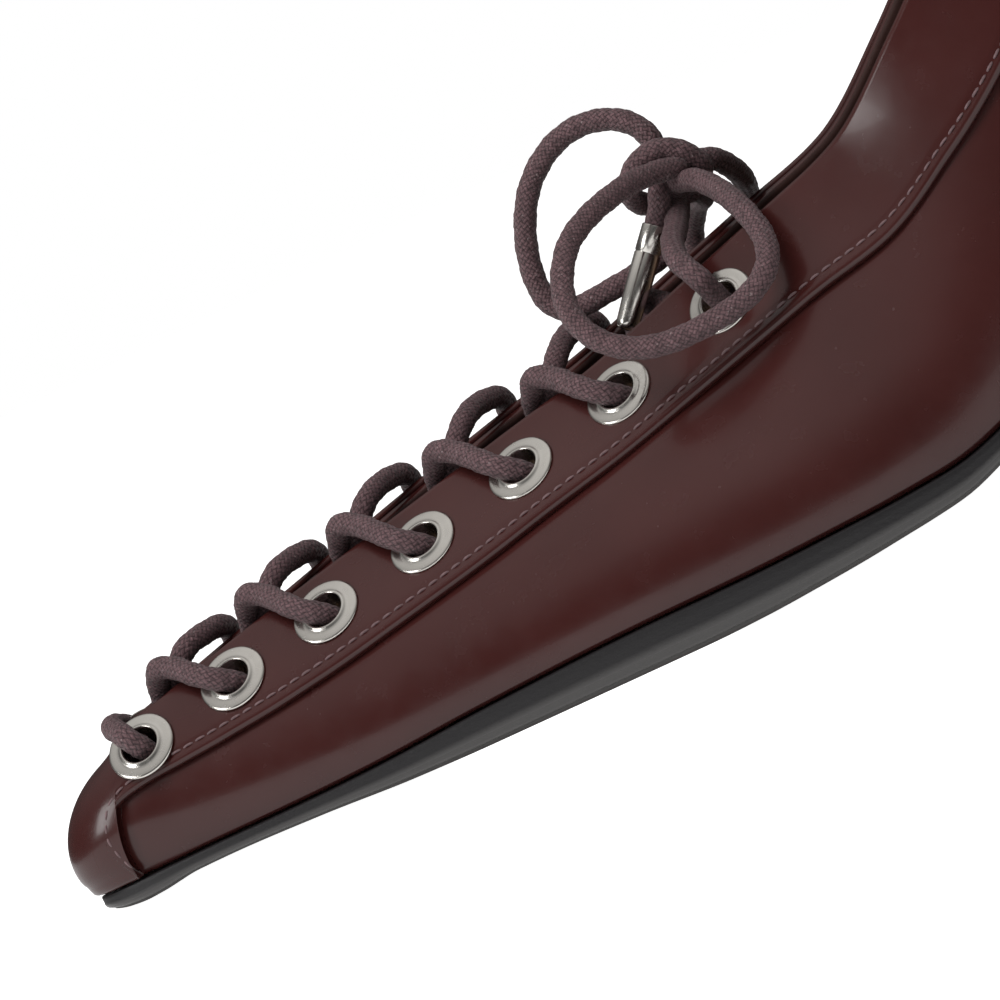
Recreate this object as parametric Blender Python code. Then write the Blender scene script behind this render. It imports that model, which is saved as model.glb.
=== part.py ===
"""Lace up heel: a pointed pump in polished leather, laced over the instep.

Lengths in the tables are millimetres. The tip of the toe points to -X, the wearer's left is -Y, and the
shoe stands on Z = 0. Points are worked out with x measured back from the tip, and the finished meshes are
moved so that the middle of the shoe's length and width stands over the origin.
"""

import math

import bmesh
import bpy
import numpy as np
from mathutils import Matrix

MM = 0.001

# Driving sizes of the shoe, a woman's size 38
LENGTH = 260.5
BALL_WIDTH = 74.6
INSTEP_HEIGHT = 47.1
HEEL_HEIGHT = 84.0
WALL = 1.6
GAP = 0.3

# Sizes of the last that the tables below were drawn for
LAST_LENGTH = 258.0
LAST_BALL_WIDTH = 74.6
LAST_INSTEP_HEIGHT = 47.1
LAST_HEEL_HEIGHT = 84.0

# Outline of the sole seen from above: half widths outward and inward of the long axis
OUTLINE_COLUMNS = ("x", "lateral", "medial")
OUTLINE = [
    (0, 0.0, 0.0),
    (4, 6.2, 6.0),
    (8, 8.6, 8.2),
    (15, 11.6, 11.0),
    (30, 16.8, 15.6),
    (45, 21.6, 19.8),
    (60, 26.2, 24.0),
    (75, 30.6, 28.2),
    (90, 34.6, 32.2),
    (105, 37.6, 35.0),
    (118, 39.0, 35.6),
    (130, 38.6, 33.6),
    (142, 36.6, 30.0),
    (158, 32.4, 25.2),
    (178, 28.0, 22.2),
    (198, 26.6, 23.2),
    (218, 27.2, 25.4),
    (236, 25.8, 25.2),
    (250, 19.2, 19.0),
    (258, 0.0, 0.0),
]

# Side profile of the sole: height of its underside, and how thick its side stands
PROFILE_COLUMNS = ("x", "under", "side")
PROFILE = [
    (0, 0.6, 2.3),
    (2.5, 0.25, 2.7),
    (5, 0.15, 2.9),
    (8, 0.35, 2.8),
    (14, 1.1, 2.2),
    (20, 1.2, 2.2),
    (32, 0.9, 2.6),
    (46, 0.2, 3.8),
    (58, 0.0, 4.8),
    (88, 0.0, 5.8),
    (97, 0.25, 5.6),
    (104, 0.7, 5.3),
    (111, 1.25, 5.0),
    (117, 1.85, 4.6),
    (122, 2.35, 4.4),
    (127, 3.05, 4.1),
    (133, 4.9, 3.6),
    (149, 11.4, 3.2),
    (165, 21.5, 3.0),
    (180, 33.5, 3.0),
    (195, 46.0, 3.0),
    (210, 58.3, 3.0),
    (225, 68.8, 3.0),
    (240, 76.6, 3.0),
    (258, 84.0, 3.0),
]

# Top edge of the upper, along the throat and then the collar, for each place along the feather line:
# where it lies, how far from the long axis on either side, its height, and how much higher it is inward
EDGE_COLUMNS = ("x", "edge_x", "lateral", "medial", "height", "inward_rise")
EDGE = [
    (0, 10.2, 0.0, 0.0, 18.2, 0.0),
    (4, 12.4, 2.3, 2.3, 20.0, 0.0),
    (8, 15.0, 3.2, 3.2, 21.6, 0.0),
    (15, 20.5, 4.0, 4.0, 23.2, 0.0),
    (30, 33.5, 4.7, 4.7, 26.5, 0.2),
    (45, 46.5, 5.5, 5.4, 29.2, 0.8),
    (60, 60.5, 6.8, 6.5, 32.0, 1.5),
    (75, 75.5, 8.5, 8.0, 35.1, 1.9),
    (90, 90.5, 10.6, 9.8, 38.2, 2.0),
    (105, 105.5, 12.8, 11.8, 42.9, 1.7),
    (118, 119.0, 16.0, 14.6, 47.1, 1.4),
    (130, 132.0, 20.2, 18.2, 51.6, 0.8),
    (142, 145.4, 24.2, 21.6, 62.0, 0.2),
    (158, 162.4, 26.6, 24.4, 77.5, 0.0),
    (178, 184.0, 27.8, 26.4, 95.0, 0.0),
    (198, 206.0, 27.4, 26.8, 112.5, 0.0),
    (218, 225.0, 25.0, 24.8, 124.8, 0.0),
    (236, 240.5, 19.6, 19.4, 133.2, 0.0),
    (250, 251.0, 10.4, 10.4, 138.0, 0.0),
    (258, 254.0, 0.0, 0.0, 139.4, 0.0),
]

# How the wall swells between feather line and edge: how far it leans out and rises above the feather, how
# long it runs straight below the edge, and its slope there in degrees
SWELL_COLUMNS = ("x", "out", "rise", "run", "slope")
SWELL = [
    (0, 4.4, 5.3, 8.2, 13),
    (4, 4.0, 6.0, 9.0, 22),
    (8, 3.4, 7.0, 9.2, 31),
    (15, 2.8, 8.0, 9.6, 41),
    (30, 2.4, 10.0, 10.5, 47),
    (60, 2.2, 12.0, 11.5, 51),
    (90, 2.4, 14.0, 13.5, 52),
    (105, 2.4, 15.0, 14.5, 54),
    (118, 2.4, 16.0, 15.5, 58),
    (130, 2.4, 17.0, 16.5, 67),
    (142, 2.4, 18.0, 17.5, 77),
    (158, 2.6, 18.0, 18.0, 84),
    (178, 3.0, 18.0, 18.0, 85),
    (218, 4.0, 18.0, 18.0, 82),
    (258, 5.0, 18.0, 20.0, 78),
]

# Outer cut edge of the facing seen from the side, from the sole at the toe, round the wrap and back
FACING_COLUMNS = ("x", "height")
FACING = [
    (7.0, 4.4),
    (5.4, 6.6),
    (4.9, 8.6),
    (5.6, 11.0),
    (8.4, 13.3),
    (14.0, 14.4),
    (24.0, 15.0),
    (35.5, 16.1),
    (53.0, 18.9),
    (69.5, 22.0),
    (86.5, 25.7),
    (104.0, 29.9),
    (118.0, 33.6),
    (130.0, 36.6),
    (141.0, 41.2),
    (153.5, 49.0),
    (165.0, 60.5),
    (184.0, 79.5),
    (206.0, 98.0),
    (228.0, 112.5),
    (246.0, 121.5),
]
FACING_BACK_HEIGHT = 124.5
FACING_THICKNESS = 1.1
FACING_LIFT = 0.4

INSOLE_THICKNESS = 2.0
STATIONS = 34
UPPER_ROWS = 6
FACING_ROWS = 4

# Eyelets: how far each stands back from the tip, and how far its centre lies below the edge
EYELET_COLUMNS = ("x", "drop")
EYELETS = [
    (14.8, 6.2),
    (29.8, 6.8),
    (44.9, 7.5),
    (60.6, 8.0),
    (76.6, 8.1),
    (92.7, 8.0),
    (110.1, 7.9),
]
EYELET_HOLE_RADIUS = 2.6
EYELET_BARREL_RADIUS = 2.95
EYELET_RIM_RADIUS = 4.8
EYELET_HOLE_CLEARANCE = 0.35
EYELET_SIDES = 10
EYELET_SINK = 3.15
EYELET_LIFT = FACING_LIFT + FACING_THICKNESS + GAP + 0.12
FLANGE = 0.45

CORD_DIAMETER = 3.5
CORD_SIDES = 6

COLOURS = {
    "leather": ((0.055, 0.014, 0.012, 1.0), 0.18, 0.0),
    "facing": ((0.060, 0.016, 0.014, 1.0), 0.16, 0.0),
    "sole": ((0.022, 0.018, 0.018, 1.0), 0.45, 0.0),
    "rubber": ((0.015, 0.014, 0.014, 1.0), 0.7, 0.0),
    "insole": ((0.30, 0.20, 0.14, 1.0), 0.6, 0.0),
    "nickel": ((0.62, 0.60, 0.56, 1.0), 0.22, 1.0),
    "cotton": ((0.13, 0.085, 0.09, 1.0), 0.9, 0.0),
}


def column(columns, rows, name):
    """One named column of a table."""
    return np.array([row[columns.index(name)] for row in rows], float)


def smooth(x, xs, ys):
    """Monotone cubic curve through table values, without overshoot between rows."""
    step = np.diff(xs)
    slope = np.diff(ys) / step
    tangent = np.empty_like(ys)
    tangent[0], tangent[-1] = slope[0], slope[-1]
    before, after = slope[:-1], slope[1:]
    weight_a, weight_b = 2 * step[1:] + step[:-1], step[1:] + 2 * step[:-1]
    same = before * after > 0
    safe_before, safe_after = np.where(same, before, 1.0), np.where(same, after, 1.0)
    mean = (weight_a + weight_b) / (weight_a / safe_before + weight_b / safe_after)
    tangent[1:-1] = np.where(same, mean, 0.0)
    x = np.clip(x, xs[0], xs[-1])
    k = np.clip(np.searchsorted(xs, x, side="right") - 1, 0, len(xs) - 2)
    t = (x - xs[k]) / step[k]
    return (
        (2 * t**3 - 3 * t**2 + 1) * ys[k]
        + (t**3 - 2 * t**2 + t) * step[k] * tangent[k]
        + (-2 * t**3 + 3 * t**2) * ys[k + 1]
        + (t**3 - t**2) * step[k] * tangent[k + 1]
    )


def rounded(x, xs, halves):
    """A half width that closes round at both ends, because its square is what runs smoothly."""
    return np.sqrt(np.maximum(smooth(x, xs, halves**2), 0.0))


def place_along(u):
    """Distance from the tip for a place u round the shoe: 0 tip, 1 heel by the outer side, 2 tip again."""
    u = np.mod(u, 2.0)
    s = np.where(u <= 1.0, u, 2.0 - u)
    return LAST_LENGTH * (1 - np.cos(math.pi * s)) / 2


def sides(u):
    """-1 on the outer side and +1 on the inner side."""
    return np.where(np.mod(u, 2.0) <= 1.0, -1.0, 1.0)


def around(x, side):
    """The place u round the shoe at a distance from the tip, on one side."""
    s = np.arccos(np.clip(1 - 2 * np.asarray(x, float) / LAST_LENGTH, -1, 1)) / math.pi
    return s if side < 0 else 2.0 - s


def two_sided(u, columns, rows):
    """The rounded half width of a table with a lateral and a medial column, with its sign."""
    x = place_along(u)
    xs = column(columns, rows, "x")
    lateral = rounded(x, xs, column(columns, rows, "lateral"))
    medial = rounded(x, xs, column(columns, rows, "medial"))
    return np.where(sides(u) < 0, -lateral, medial)


def outline(u, inset=0.0):
    """Points of the sole's outline in plan, moved inward by inset."""
    x = place_along(u)
    y = two_sided(u, OUTLINE_COLUMNS, OUTLINE)
    if not inset:
        return x, y
    step = 0.004
    ahead_x, ahead_y = outline(u + step)
    behind_x, behind_y = outline(u - step)
    along_x, along_y = ahead_x - behind_x, ahead_y - behind_y
    size = np.maximum(np.hypot(along_x, along_y), 1e-9)
    return x - inset * along_y / size, y + inset * along_x / size


def under_height(x):
    """Height of the sole's underside."""
    return smooth(x, column(PROFILE_COLUMNS, PROFILE, "x"), column(PROFILE_COLUMNS, PROFILE, "under"))


def feather_height(x):
    """Height of the sole's top, where the upper meets it."""
    side = smooth(x, column(PROFILE_COLUMNS, PROFILE, "x"), column(PROFILE_COLUMNS, PROFILE, "side"))
    return under_height(x) + side


def swell(u, name):
    """One value of the swell table at a place round the shoe."""
    return smooth(
        place_along(u), column(SWELL_COLUMNS, SWELL, "x"), column(SWELL_COLUMNS, SWELL, name)
    )


def edge_point(u):
    """The top edge of the upper at a place round the shoe."""
    x = place_along(u)
    xs = column(EDGE_COLUMNS, EDGE, "x")
    edge_x = smooth(x, xs, column(EDGE_COLUMNS, EDGE, "edge_x"))
    height = smooth(x, xs, column(EDGE_COLUMNS, EDGE, "height"))
    rise = smooth(x, xs, column(EDGE_COLUMNS, EDGE, "inward_rise"))
    height = height + np.where(sides(u) > 0, rise, 0.0)
    return np.stack([edge_x, two_sided(u, EDGE_COLUMNS, EDGE), height], axis=-1)


def outward(u):
    """The level direction that points out of the shoe, square to the outline."""
    step = 0.004
    ahead_x, ahead_y = outline(u + step)
    behind_x, behind_y = outline(u - step)
    along_x, along_y = ahead_x - behind_x, ahead_y - behind_y
    size = np.maximum(np.hypot(along_x, along_y), 1e-9)
    return np.stack([along_y / size, -along_x / size, np.zeros_like(size)], axis=-1)


UPPER_INSET = 1.3


def wall_point(u, v):
    """The outer surface of the upper: v is 0 at the feather line and 1 at the top edge.

    Each place round the shoe has one cubic curve. It starts on the feather line, leans out and rises,
    and ends at the edge with the slope and the straight run of the swell table.
    """
    u, v = np.broadcast_arrays(np.asarray(u, float), np.asarray(v, float))
    foot_x, foot_y = outline(u, UPPER_INSET)
    foot = np.stack([foot_x, foot_y, feather_height(np.clip(foot_x, 0, LAST_LENGTH)) + GAP], axis=-1)
    out = outward(u)
    up = np.array([0.0, 0.0, 1.0])
    top = edge_point(u)
    slope = np.radians(swell(u, "slope"))[..., None]
    low = foot + out * swell(u, "out")[..., None] + up * swell(u, "rise")[..., None]
    high = top + swell(u, "run")[..., None] * (out * np.cos(slope) - up * np.sin(slope))
    v = v[..., None]
    return (
        (1 - v) ** 3 * foot + 3 * (1 - v) ** 2 * v * low + 3 * (1 - v) * v**2 * high + v**3 * top
    )


def wall_normal(u, v):
    """Unit normal of the upper's surface, pointing out of the shoe."""
    step = 0.003
    low, high = np.clip(v - step, 0, 1), np.clip(v + step, 0, 1)
    along = wall_point(u + step, v) - wall_point(u - step, v)
    upward = wall_point(u, high) - wall_point(u, low)
    normal = np.cross(along, upward)
    return normal / np.maximum(np.linalg.norm(normal, axis=-1, keepdims=True), 1e-9)


def skin(u, v, lift):
    """A point at a distance off the upper's outer surface."""
    return wall_point(u, v) + np.asarray(lift)[..., None] * wall_normal(u, v)


def share_at_height(u, height):
    """The v at which the wall reaches a height."""
    v = np.linspace(0, 1, 201)
    rows = wall_point(np.full_like(v, u), v)[:, 2]
    return float(np.interp(height, rows, v))


def share_below_edge(u, distance):
    """The v that lies a distance below the edge, measured along the wall."""
    v = np.linspace(1, 0.2, 400)
    line = wall_point(np.full_like(v, u), v)
    run = np.concatenate([[0], np.cumsum(np.linalg.norm(np.diff(line, axis=0), axis=1))])
    return float(np.interp(distance, run, v))


def material(name):
    """The material of one kind of piece."""
    found = bpy.data.materials.get(name)
    if found:
        return found
    colour, roughness, metallic = COLOURS[name]
    made = bpy.data.materials.new(name)
    made.use_nodes = True
    shader = made.node_tree.nodes["Principled BSDF"]
    shader.inputs["Base Color"].default_value = colour
    shader.inputs["Roughness"].default_value = roughness
    shader.inputs["Metallic"].default_value = metallic
    made.diffuse_color = colour
    return made


def stretch(points):
    """Points of the drawn last brought to the driving sizes."""
    points = np.asarray(points, float)
    middle = points[:, 0] / LAST_LENGTH
    heel_share = HEEL_HEIGHT / LAST_HEEL_HEIGHT
    instep_share = INSTEP_HEIGHT / LAST_INSTEP_HEIGHT
    rise = instep_share + (heel_share - instep_share) * np.clip((middle - 0.4) / 0.3, 0, 1)
    return np.column_stack(
        [
            points[:, 0] * LENGTH / LAST_LENGTH,
            points[:, 1] * BALL_WIDTH / LAST_BALL_WIDTH,
            points[:, 2] * rise,
        ]
    )


def add_object(name, mesh, finish):
    """Link a mesh as a named object with its material."""
    made = bpy.data.objects.new(name, mesh)
    bpy.context.scene.collection.objects.link(made)
    mesh.materials.append(material(finish))
    return made


def mesh_object(name, points, faces, finish):
    """An object from points in the last's millimetres and faces, with its normals made to agree."""
    mesh = bpy.data.meshes.new(name)
    mesh.from_pydata((stretch(points) * MM).tolist(), [], [list(map(int, f)) for f in faces])
    edit = bmesh.new()
    edit.from_mesh(mesh)
    bmesh.ops.remove_doubles(edit, verts=edit.verts, dist=1e-6)
    bmesh.ops.triangulate(edit, faces=edit.faces, quad_method="SHORT_EDGE")
    bmesh.ops.recalc_face_normals(edit, faces=edit.faces)
    edit.to_mesh(mesh)
    edit.free()
    mesh.shade_smooth()
    mesh.set_sharp_from_angle(angle=math.radians(40))
    return add_object(name, mesh, finish)


def ring_faces(rings, count, closed=True):
    """Quads between rings of count points each; closed joins the last ring to the first."""
    faces = []
    pairs = [(k, k + 1) for k in range(rings - 1)] + ([(rings - 1, 0)] if closed else [])
    for a, b in pairs:
        for i in range(count):
            j = (i + 1) % count
            faces.append((a * count + i, a * count + j, b * count + j, b * count + i))
    return faces


def bridge_cap(first, count):
    """Faces that close a ring round the shoe, by joining its outer side to its inner side."""
    faces = []
    half = count // 2
    for i in range(half):
        a, b = first + i, first + i + 1
        c, d = first + (count - i - 1) % count, first + (count - i) % count
        corners = [a, b, c, d]
        unique = [p for k, p in enumerate(corners) if p not in corners[:k]]
        if len(unique) > 2:
            faces.append(unique)
    return faces


def stations(count=STATIONS):
    """Places round the shoe, the same on both sides."""
    return np.arange(2 * count) / count


def make_upper():
    """The hollow wall: an outer surface, an inner one a wall thickness in, and the two rims."""
    u = stations()
    v = np.linspace(0, 1, UPPER_ROWS)
    rings = [skin(u, np.full_like(u, value), np.zeros_like(u)) for value in v]
    rings += [skin(u, np.full_like(u, value), np.full_like(u, -WALL)) for value in v[::-1]]
    rings[-1][:, 2] = rings[0][:, 2]
    return mesh_object("upper", np.concatenate(rings), ring_faces(len(rings), len(u)), "leather")


def halving(measure, low, high):
    """Where a rising measure passes zero between two values."""
    for _ in range(30):
        middle = (low + high) / 2
        if measure(middle) < 0:
            low = middle
        else:
            high = middle
    return (low + high) / 2


def facing_edge():
    """The facing's outer cut edge as places (u, v), from the toe's wrap to the back.

    The side view table gives each point's distance from the tip and its height. The place u whose wall
    passes through that point is found by halving.
    """
    found = []
    for x, height in FACING:
        u = halving(
            lambda place: wall_point(place, share_at_height(place, height))[0] - x,
            float(around(0.2, -1)),
            float(around(257.0, -1)),
        )
        found.append((u, share_at_height(u, height)))
    return found


def facing_path(edge):
    """Cross lines of the facing: the cut edge's place and the top edge's place, on the outer side."""
    first_u = edge[0][0]
    tip = [(first_u * share, 0.0, first_u * share) for share in (0.0, 0.3, 0.6, 0.85)]
    edge_u = np.array([place[0] for place in edge])
    edge_v = np.array([place[1] for place in edge])
    run = np.concatenate([[0], np.cumsum(np.hypot(np.diff(edge_u) * 200, np.diff(edge_v) * 30))])
    even = np.linspace(0, 1, 28)
    at = run[-1] * (0.6 * even + 0.4 * (1 - np.cos(math.pi * even)) / 2)
    place_u, place_v = smooth(at, run, edge_u), smooth(at, run, edge_v)
    place_v[0] = 0.0
    settle = np.clip(even / 0.35, 0, 1)
    top_u = first_u + (place_u - first_u) * (0.35 + 0.65 * settle) + 0.035 * np.sin(settle * math.pi)
    top_u = np.maximum.accumulate(np.maximum(top_u, first_u))
    body = list(zip(place_u, place_v, top_u))
    back_v = share_at_height(1.0, FACING_BACK_HEIGHT)
    last_u, last_v, last_top = body[-1]
    end = []
    for share in np.arange(1, 6) / 6:
        ease = share * share * (3 - 2 * share)
        end.append(
            (
                last_u + (1 - last_u) * share,
                last_v + (back_v - last_v) * ease,
                last_top + (1 - last_top) * share,
            )
        )
    return tip + body + end + [(1.0, back_v, 1.0)]


def make_facing(path):
    """The overlay: wraps the tip, lines the throat and bands the collar, a gap off the upper."""
    outer = [row for row in path]
    inner = [(2.0 - a, v, 2.0 - b) for a, v, b in path[-2:0:-1]]
    rows = outer + inner
    low_u = np.array([row[0] for row in rows])
    low_v = np.array([row[1] for row in rows])
    top_u = np.array([row[2] for row in rows])
    rings = []
    shares = np.linspace(0, 1, FACING_ROWS + 1)
    for lift, order in ((FACING_LIFT + FACING_THICKNESS, shares), (FACING_LIFT, shares[::-1])):
        for share in order:
            u = low_u + (top_u - low_u) * share
            v = low_v + (1 - low_v) * share
            ring = skin(u, v, np.full_like(u, lift))
            floor = feather_height(np.clip(ring[:, 0], 0, LAST_LENGTH)) + GAP
            ring[:, 2] = np.maximum(ring[:, 2], floor)
            rings.append(ring)
    return mesh_object("facing", np.concatenate(rings), ring_faces(len(rings), len(rows)), "facing")


TREAD_STEP = 0.7
TREAD_INSET = 2.2
BEVEL_INSET = 0.35
LOWER_INSET = 1.3
BEVEL_RISE = 0.42


def make_outsole():
    """The sole: a trimmed side, a rounded lower edge and a thin tread set in from it."""
    u = stations()
    x, _ = outline(u)
    under = under_height(x)
    side = feather_height(x) - under
    least = TREAD_STEP + 0.1
    rings = []
    for inset, height in (
        (0.0, side),
        (0.0, np.maximum(side * BEVEL_RISE, least)),
        (BEVEL_INSET, np.maximum(side * BEVEL_RISE / 2, least)),
        (LOWER_INSET, np.full_like(side, least)),
        (TREAD_INSET, np.full_like(side, least)),
        (TREAD_INSET, np.zeros_like(side)),
    ):
        ring_x, ring_y = outline(u, inset)
        rings.append(np.column_stack([ring_x, ring_y, under + height]))
    faces = ring_faces(len(rings), len(u), closed=False)
    faces += bridge_cap(0, len(u)) + bridge_cap((len(rings) - 1) * len(u), len(u))
    return mesh_object("outsole", np.concatenate(rings), faces, "sole")


def make_insole():
    """The board and sock that lie inside, on the sole."""
    u = stations(30)
    x, _ = outline(u)
    inset = UPPER_INSET + WALL + 2 * GAP
    rings = []
    for extra, height in ((0.6, INSOLE_THICKNESS), (0.0, INSOLE_THICKNESS - 0.7), (0.0, 0.0)):
        ring_x, ring_y = outline(u, inset + extra)
        base = feather_height(np.clip(ring_x, 0, LAST_LENGTH)) + GAP
        rings.append(np.column_stack([ring_x, ring_y, base + height]))
    faces = ring_faces(len(rings), len(u), closed=False)
    faces += bridge_cap(0, len(u)) + bridge_cap(2 * len(u), len(u))
    return mesh_object("insole", np.concatenate(rings), faces, "insole")


HEEL_SIDES = 24
HEEL_TIP_HEIGHT = 6.0
# Share of the way down, front and back of the heel there, and its half width
HEEL_COLUMNS = ("down", "front", "back", "half")
HEEL = [
    (0.00, 211.0, 255.4, 23.2),
    (0.08, 214.2, 255.2, 21.6),
    (0.20, 220.2, 254.2, 17.2),
    (0.36, 227.4, 252.6, 12.6),
    (0.55, 233.0, 251.0, 9.2),
    (0.76, 236.2, 250.2, 7.2),
    (1.00, 237.4, 250.2, 6.3),
]


def heel_ring(front, back, half):
    """A heel section: a half circle behind and a flatter front, as level points."""
    turn = 2 * math.pi * np.arange(HEEL_SIDES) / HEEL_SIDES
    middle, reach = (front + back) / 2, (back - front) / 2
    cos, sin = np.cos(turn), np.sin(turn)
    x = middle + reach * np.sign(cos) * np.abs(cos) ** np.where(cos < 0, 0.55, 0.95)
    y = half * np.sign(sin) * np.abs(sin) ** np.where(cos < 0, 0.85, 0.95)
    return x, y


def make_heel():
    """The covered heel: cut on top to the seat's own curve, slim at the foot."""
    rings = []
    for down, front, back, half in HEEL:
        x, y = heel_ring(front, back, half)
        seat = under_height(np.clip(x, 0, LAST_LENGTH)) - GAP
        level = HEEL_TIP_HEIGHT + GAP
        mean = np.mean(seat)
        z = level + (1 - down) * (mean - level) + (1 - down) ** 2 * (seat - mean)
        rings.append(np.column_stack([x, y, z]))
    points = np.concatenate(rings)
    faces = ring_faces(len(rings), HEEL_SIDES, closed=False)
    half = HEEL_SIDES // 2
    for first in (0, (len(rings) - 1) * HEEL_SIDES):
        for i in range(half):
            a, b = first + i, first + i + 1
            c, d = first + (HEEL_SIDES - i - 1) % HEEL_SIDES, first + (HEEL_SIDES - i) % HEEL_SIDES
            corners = [a, b, c, d]
            unique = [p for k, p in enumerate(corners) if p not in corners[:k]]
            if len(unique) > 2:
                faces.append(unique)
    return mesh_object("heel", points, faces, "leather")


def make_heel_tip():
    """The wearing piece under the heel, flat on the ground."""
    _, front, back, half = HEEL[-1]
    rings = []
    for inset, height in ((0.1, HEEL_TIP_HEIGHT), (0.1, 0.5), (0.5, 0.0)):
        x, y = heel_ring(front + inset, back - inset, half - inset)
        rings.append(np.column_stack([x, y, np.full(HEEL_SIDES, height)]))
    faces = ring_faces(len(rings), HEEL_SIDES, closed=False)
    faces.append(list(range(HEEL_SIDES)))
    faces.append(list(range(2 * HEEL_SIDES, 3 * HEEL_SIDES)))
    return mesh_object("heel_tip", np.concatenate(rings), faces, "rubber")


def eyelet_seat(index, side):
    """Centre on the upper's surface, outward normal, and the direction along the row."""
    x, drop = EYELETS[index]
    s = halving(
        lambda share: wall_point(
            share if side < 0 else 2 - share, share_below_edge(share if side < 0 else 2 - share, drop)
        )[0]
        - x,
        float(around(max(x - 14, 0.2), -1)),
        float(around(x + 8, -1)),
    )
    u = s if side < 0 else 2 - s
    v = share_below_edge(u, drop)
    u, v = np.array(u), np.array(v)
    centre, normal = wall_point(u, v), wall_normal(u, v)
    along = np.array([1.0, 0.0, 0.0])
    along = along - normal * float(along @ normal)
    along /= np.linalg.norm(along)
    return centre, normal, along


def turned_ring(centre, normal, along, radius, lift, count):
    """A circle of points about a normal, lifted along it."""
    across = np.cross(normal, along)
    turn = 2 * math.pi * np.arange(count) / count
    spin = np.cos(turn)[:, None] * along + np.sin(turn)[:, None] * across
    return centre + radius * spin + lift * normal


def make_eyelet(name, seat):
    """One eyelet: flange outside, barrel through the leather, and a smaller flange inside."""
    centre, normal, along = seat
    face = EYELET_LIFT
    depth = -(EYELET_SINK)
    profile = (
        (EYELET_HOLE_RADIUS, face + FLANGE * 0.8),
        (EYELET_RIM_RADIUS - 0.35, face + FLANGE * 1.2),
        (EYELET_RIM_RADIUS, face),
        (EYELET_BARREL_RADIUS, face),
        (EYELET_BARREL_RADIUS, depth),
        (EYELET_BARREL_RADIUS + 0.7, depth),
        (EYELET_HOLE_RADIUS, depth - FLANGE),
    )
    rings = [turned_ring(centre, normal, along, r, lift, EYELET_SIDES) for r, lift in profile]
    return mesh_object(name, np.concatenate(rings), ring_faces(len(rings), EYELET_SIDES), "nickel")


def make_hole_cutter(seats):
    """All the eyelet holes as one cutter of separate pegs."""
    points, faces, first = [], [], 0
    for centre, normal, along in seats:
        radius = EYELET_BARREL_RADIUS + EYELET_HOLE_CLEARANCE
        rings = [turned_ring(centre, normal, along, radius, lift, EYELET_SIDES) for lift in (-6, 6)]
        points += rings
        for face in ring_faces(2, EYELET_SIDES, closed=False):
            faces.append([first + i for i in face])
        faces.append([first + i for i in range(EYELET_SIDES)])
        faces.append([first + EYELET_SIDES + i for i in range(EYELET_SIDES)])
        first += 2 * EYELET_SIDES
    cutter = mesh_object("eyelet_holes", np.concatenate(points), faces, "nickel")
    cutter.hide_render = True
    cutter.display_type = "WIRE"
    return cutter


def cut(target, cutter, operation="DIFFERENCE"):
    """A Boolean on one object by another."""
    step = target.modifiers.new("cut", "BOOLEAN")
    step.operation = operation
    step.solver = "EXACT"
    step.object = cutter


def flowing(points, spacing):
    """A smooth curve through route points, read at even steps: a centripetal spline."""
    points = np.asarray(points, float)
    line = []
    padded = np.vstack([2 * points[0] - points[1], points, 2 * points[-1] - points[-2]])
    for k in range(1, len(padded) - 2):
        p = padded[k - 1 : k + 3]
        knots = np.concatenate(
            [[0], np.cumsum(np.maximum(np.linalg.norm(np.diff(p, axis=0), axis=1), 1e-6) ** 0.5)]
        )
        t = np.linspace(knots[1], knots[2], 24, endpoint=False)[:, None]
        a = [
            (knots[i + 1] - t) / (knots[i + 1] - knots[i]) * p[i]
            + (t - knots[i]) / (knots[i + 1] - knots[i]) * p[i + 1]
            for i in range(3)
        ]
        b = [
            (knots[i + 2] - t) / (knots[i + 2] - knots[i]) * a[i]
            + (t - knots[i]) / (knots[i + 2] - knots[i]) * a[i + 1]
            for i in range(2)
        ]
        line.append((knots[2] - t) / (knots[2] - knots[1]) * b[0] + (t - knots[1]) / (knots[2] - knots[1]) * b[1])
    line = np.vstack(line + [points[-1:]])
    run = np.concatenate([[0], np.cumsum(np.linalg.norm(np.diff(line, axis=0), axis=1))])
    at = np.linspace(0, run[-1], max(4, int(round(run[-1] / spacing)) + 1))
    return np.stack([np.interp(at, run, line[:, k]) for k in range(3)], axis=1)


def tube(points, radius, count=CORD_SIDES):
    """Rings of a round tube along a line, carried without twist."""
    ahead = np.gradient(points, axis=0)
    ahead /= np.linalg.norm(ahead, axis=1, keepdims=True)
    side = np.cross(ahead[0], [0.0, 0.0, 1.0])
    if np.linalg.norm(side) < 0.1:
        side = np.cross(ahead[0], [1.0, 0.0, 0.0])
    rings = []
    turn = 2 * math.pi * np.arange(count) / count
    for point, direction in zip(points, ahead):
        side = side - direction * (side @ direction)
        side /= np.linalg.norm(side)
        other = np.cross(direction, side)
        rings.append(point + radius * (np.cos(turn)[:, None] * side + np.sin(turn)[:, None] * other))
    return rings


def tube_object(name, points, radius, finish):
    """A closed tube with flat ends."""
    rings = tube(points, radius)
    faces = ring_faces(len(rings), CORD_SIDES, closed=False)
    faces.append(list(range(CORD_SIDES)))
    last = (len(rings) - 1) * CORD_SIDES
    faces.append(list(range(last, last + CORD_SIDES)))
    return mesh_object(name, np.concatenate(rings), faces, finish)


CORD_RADIUS = CORD_DIAMETER / 2
OVER = FACING_LIFT + FACING_THICKNESS + GAP + CORD_RADIUS
ABOVE_EYELET = EYELET_LIFT + 1.2 * FLANGE + GAP + CORD_RADIUS
BELOW_WALL = WALL + GAP + CORD_RADIUS
BELOW_EYELET = EYELET_SINK + FLANGE + GAP + CORD_RADIUS


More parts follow.
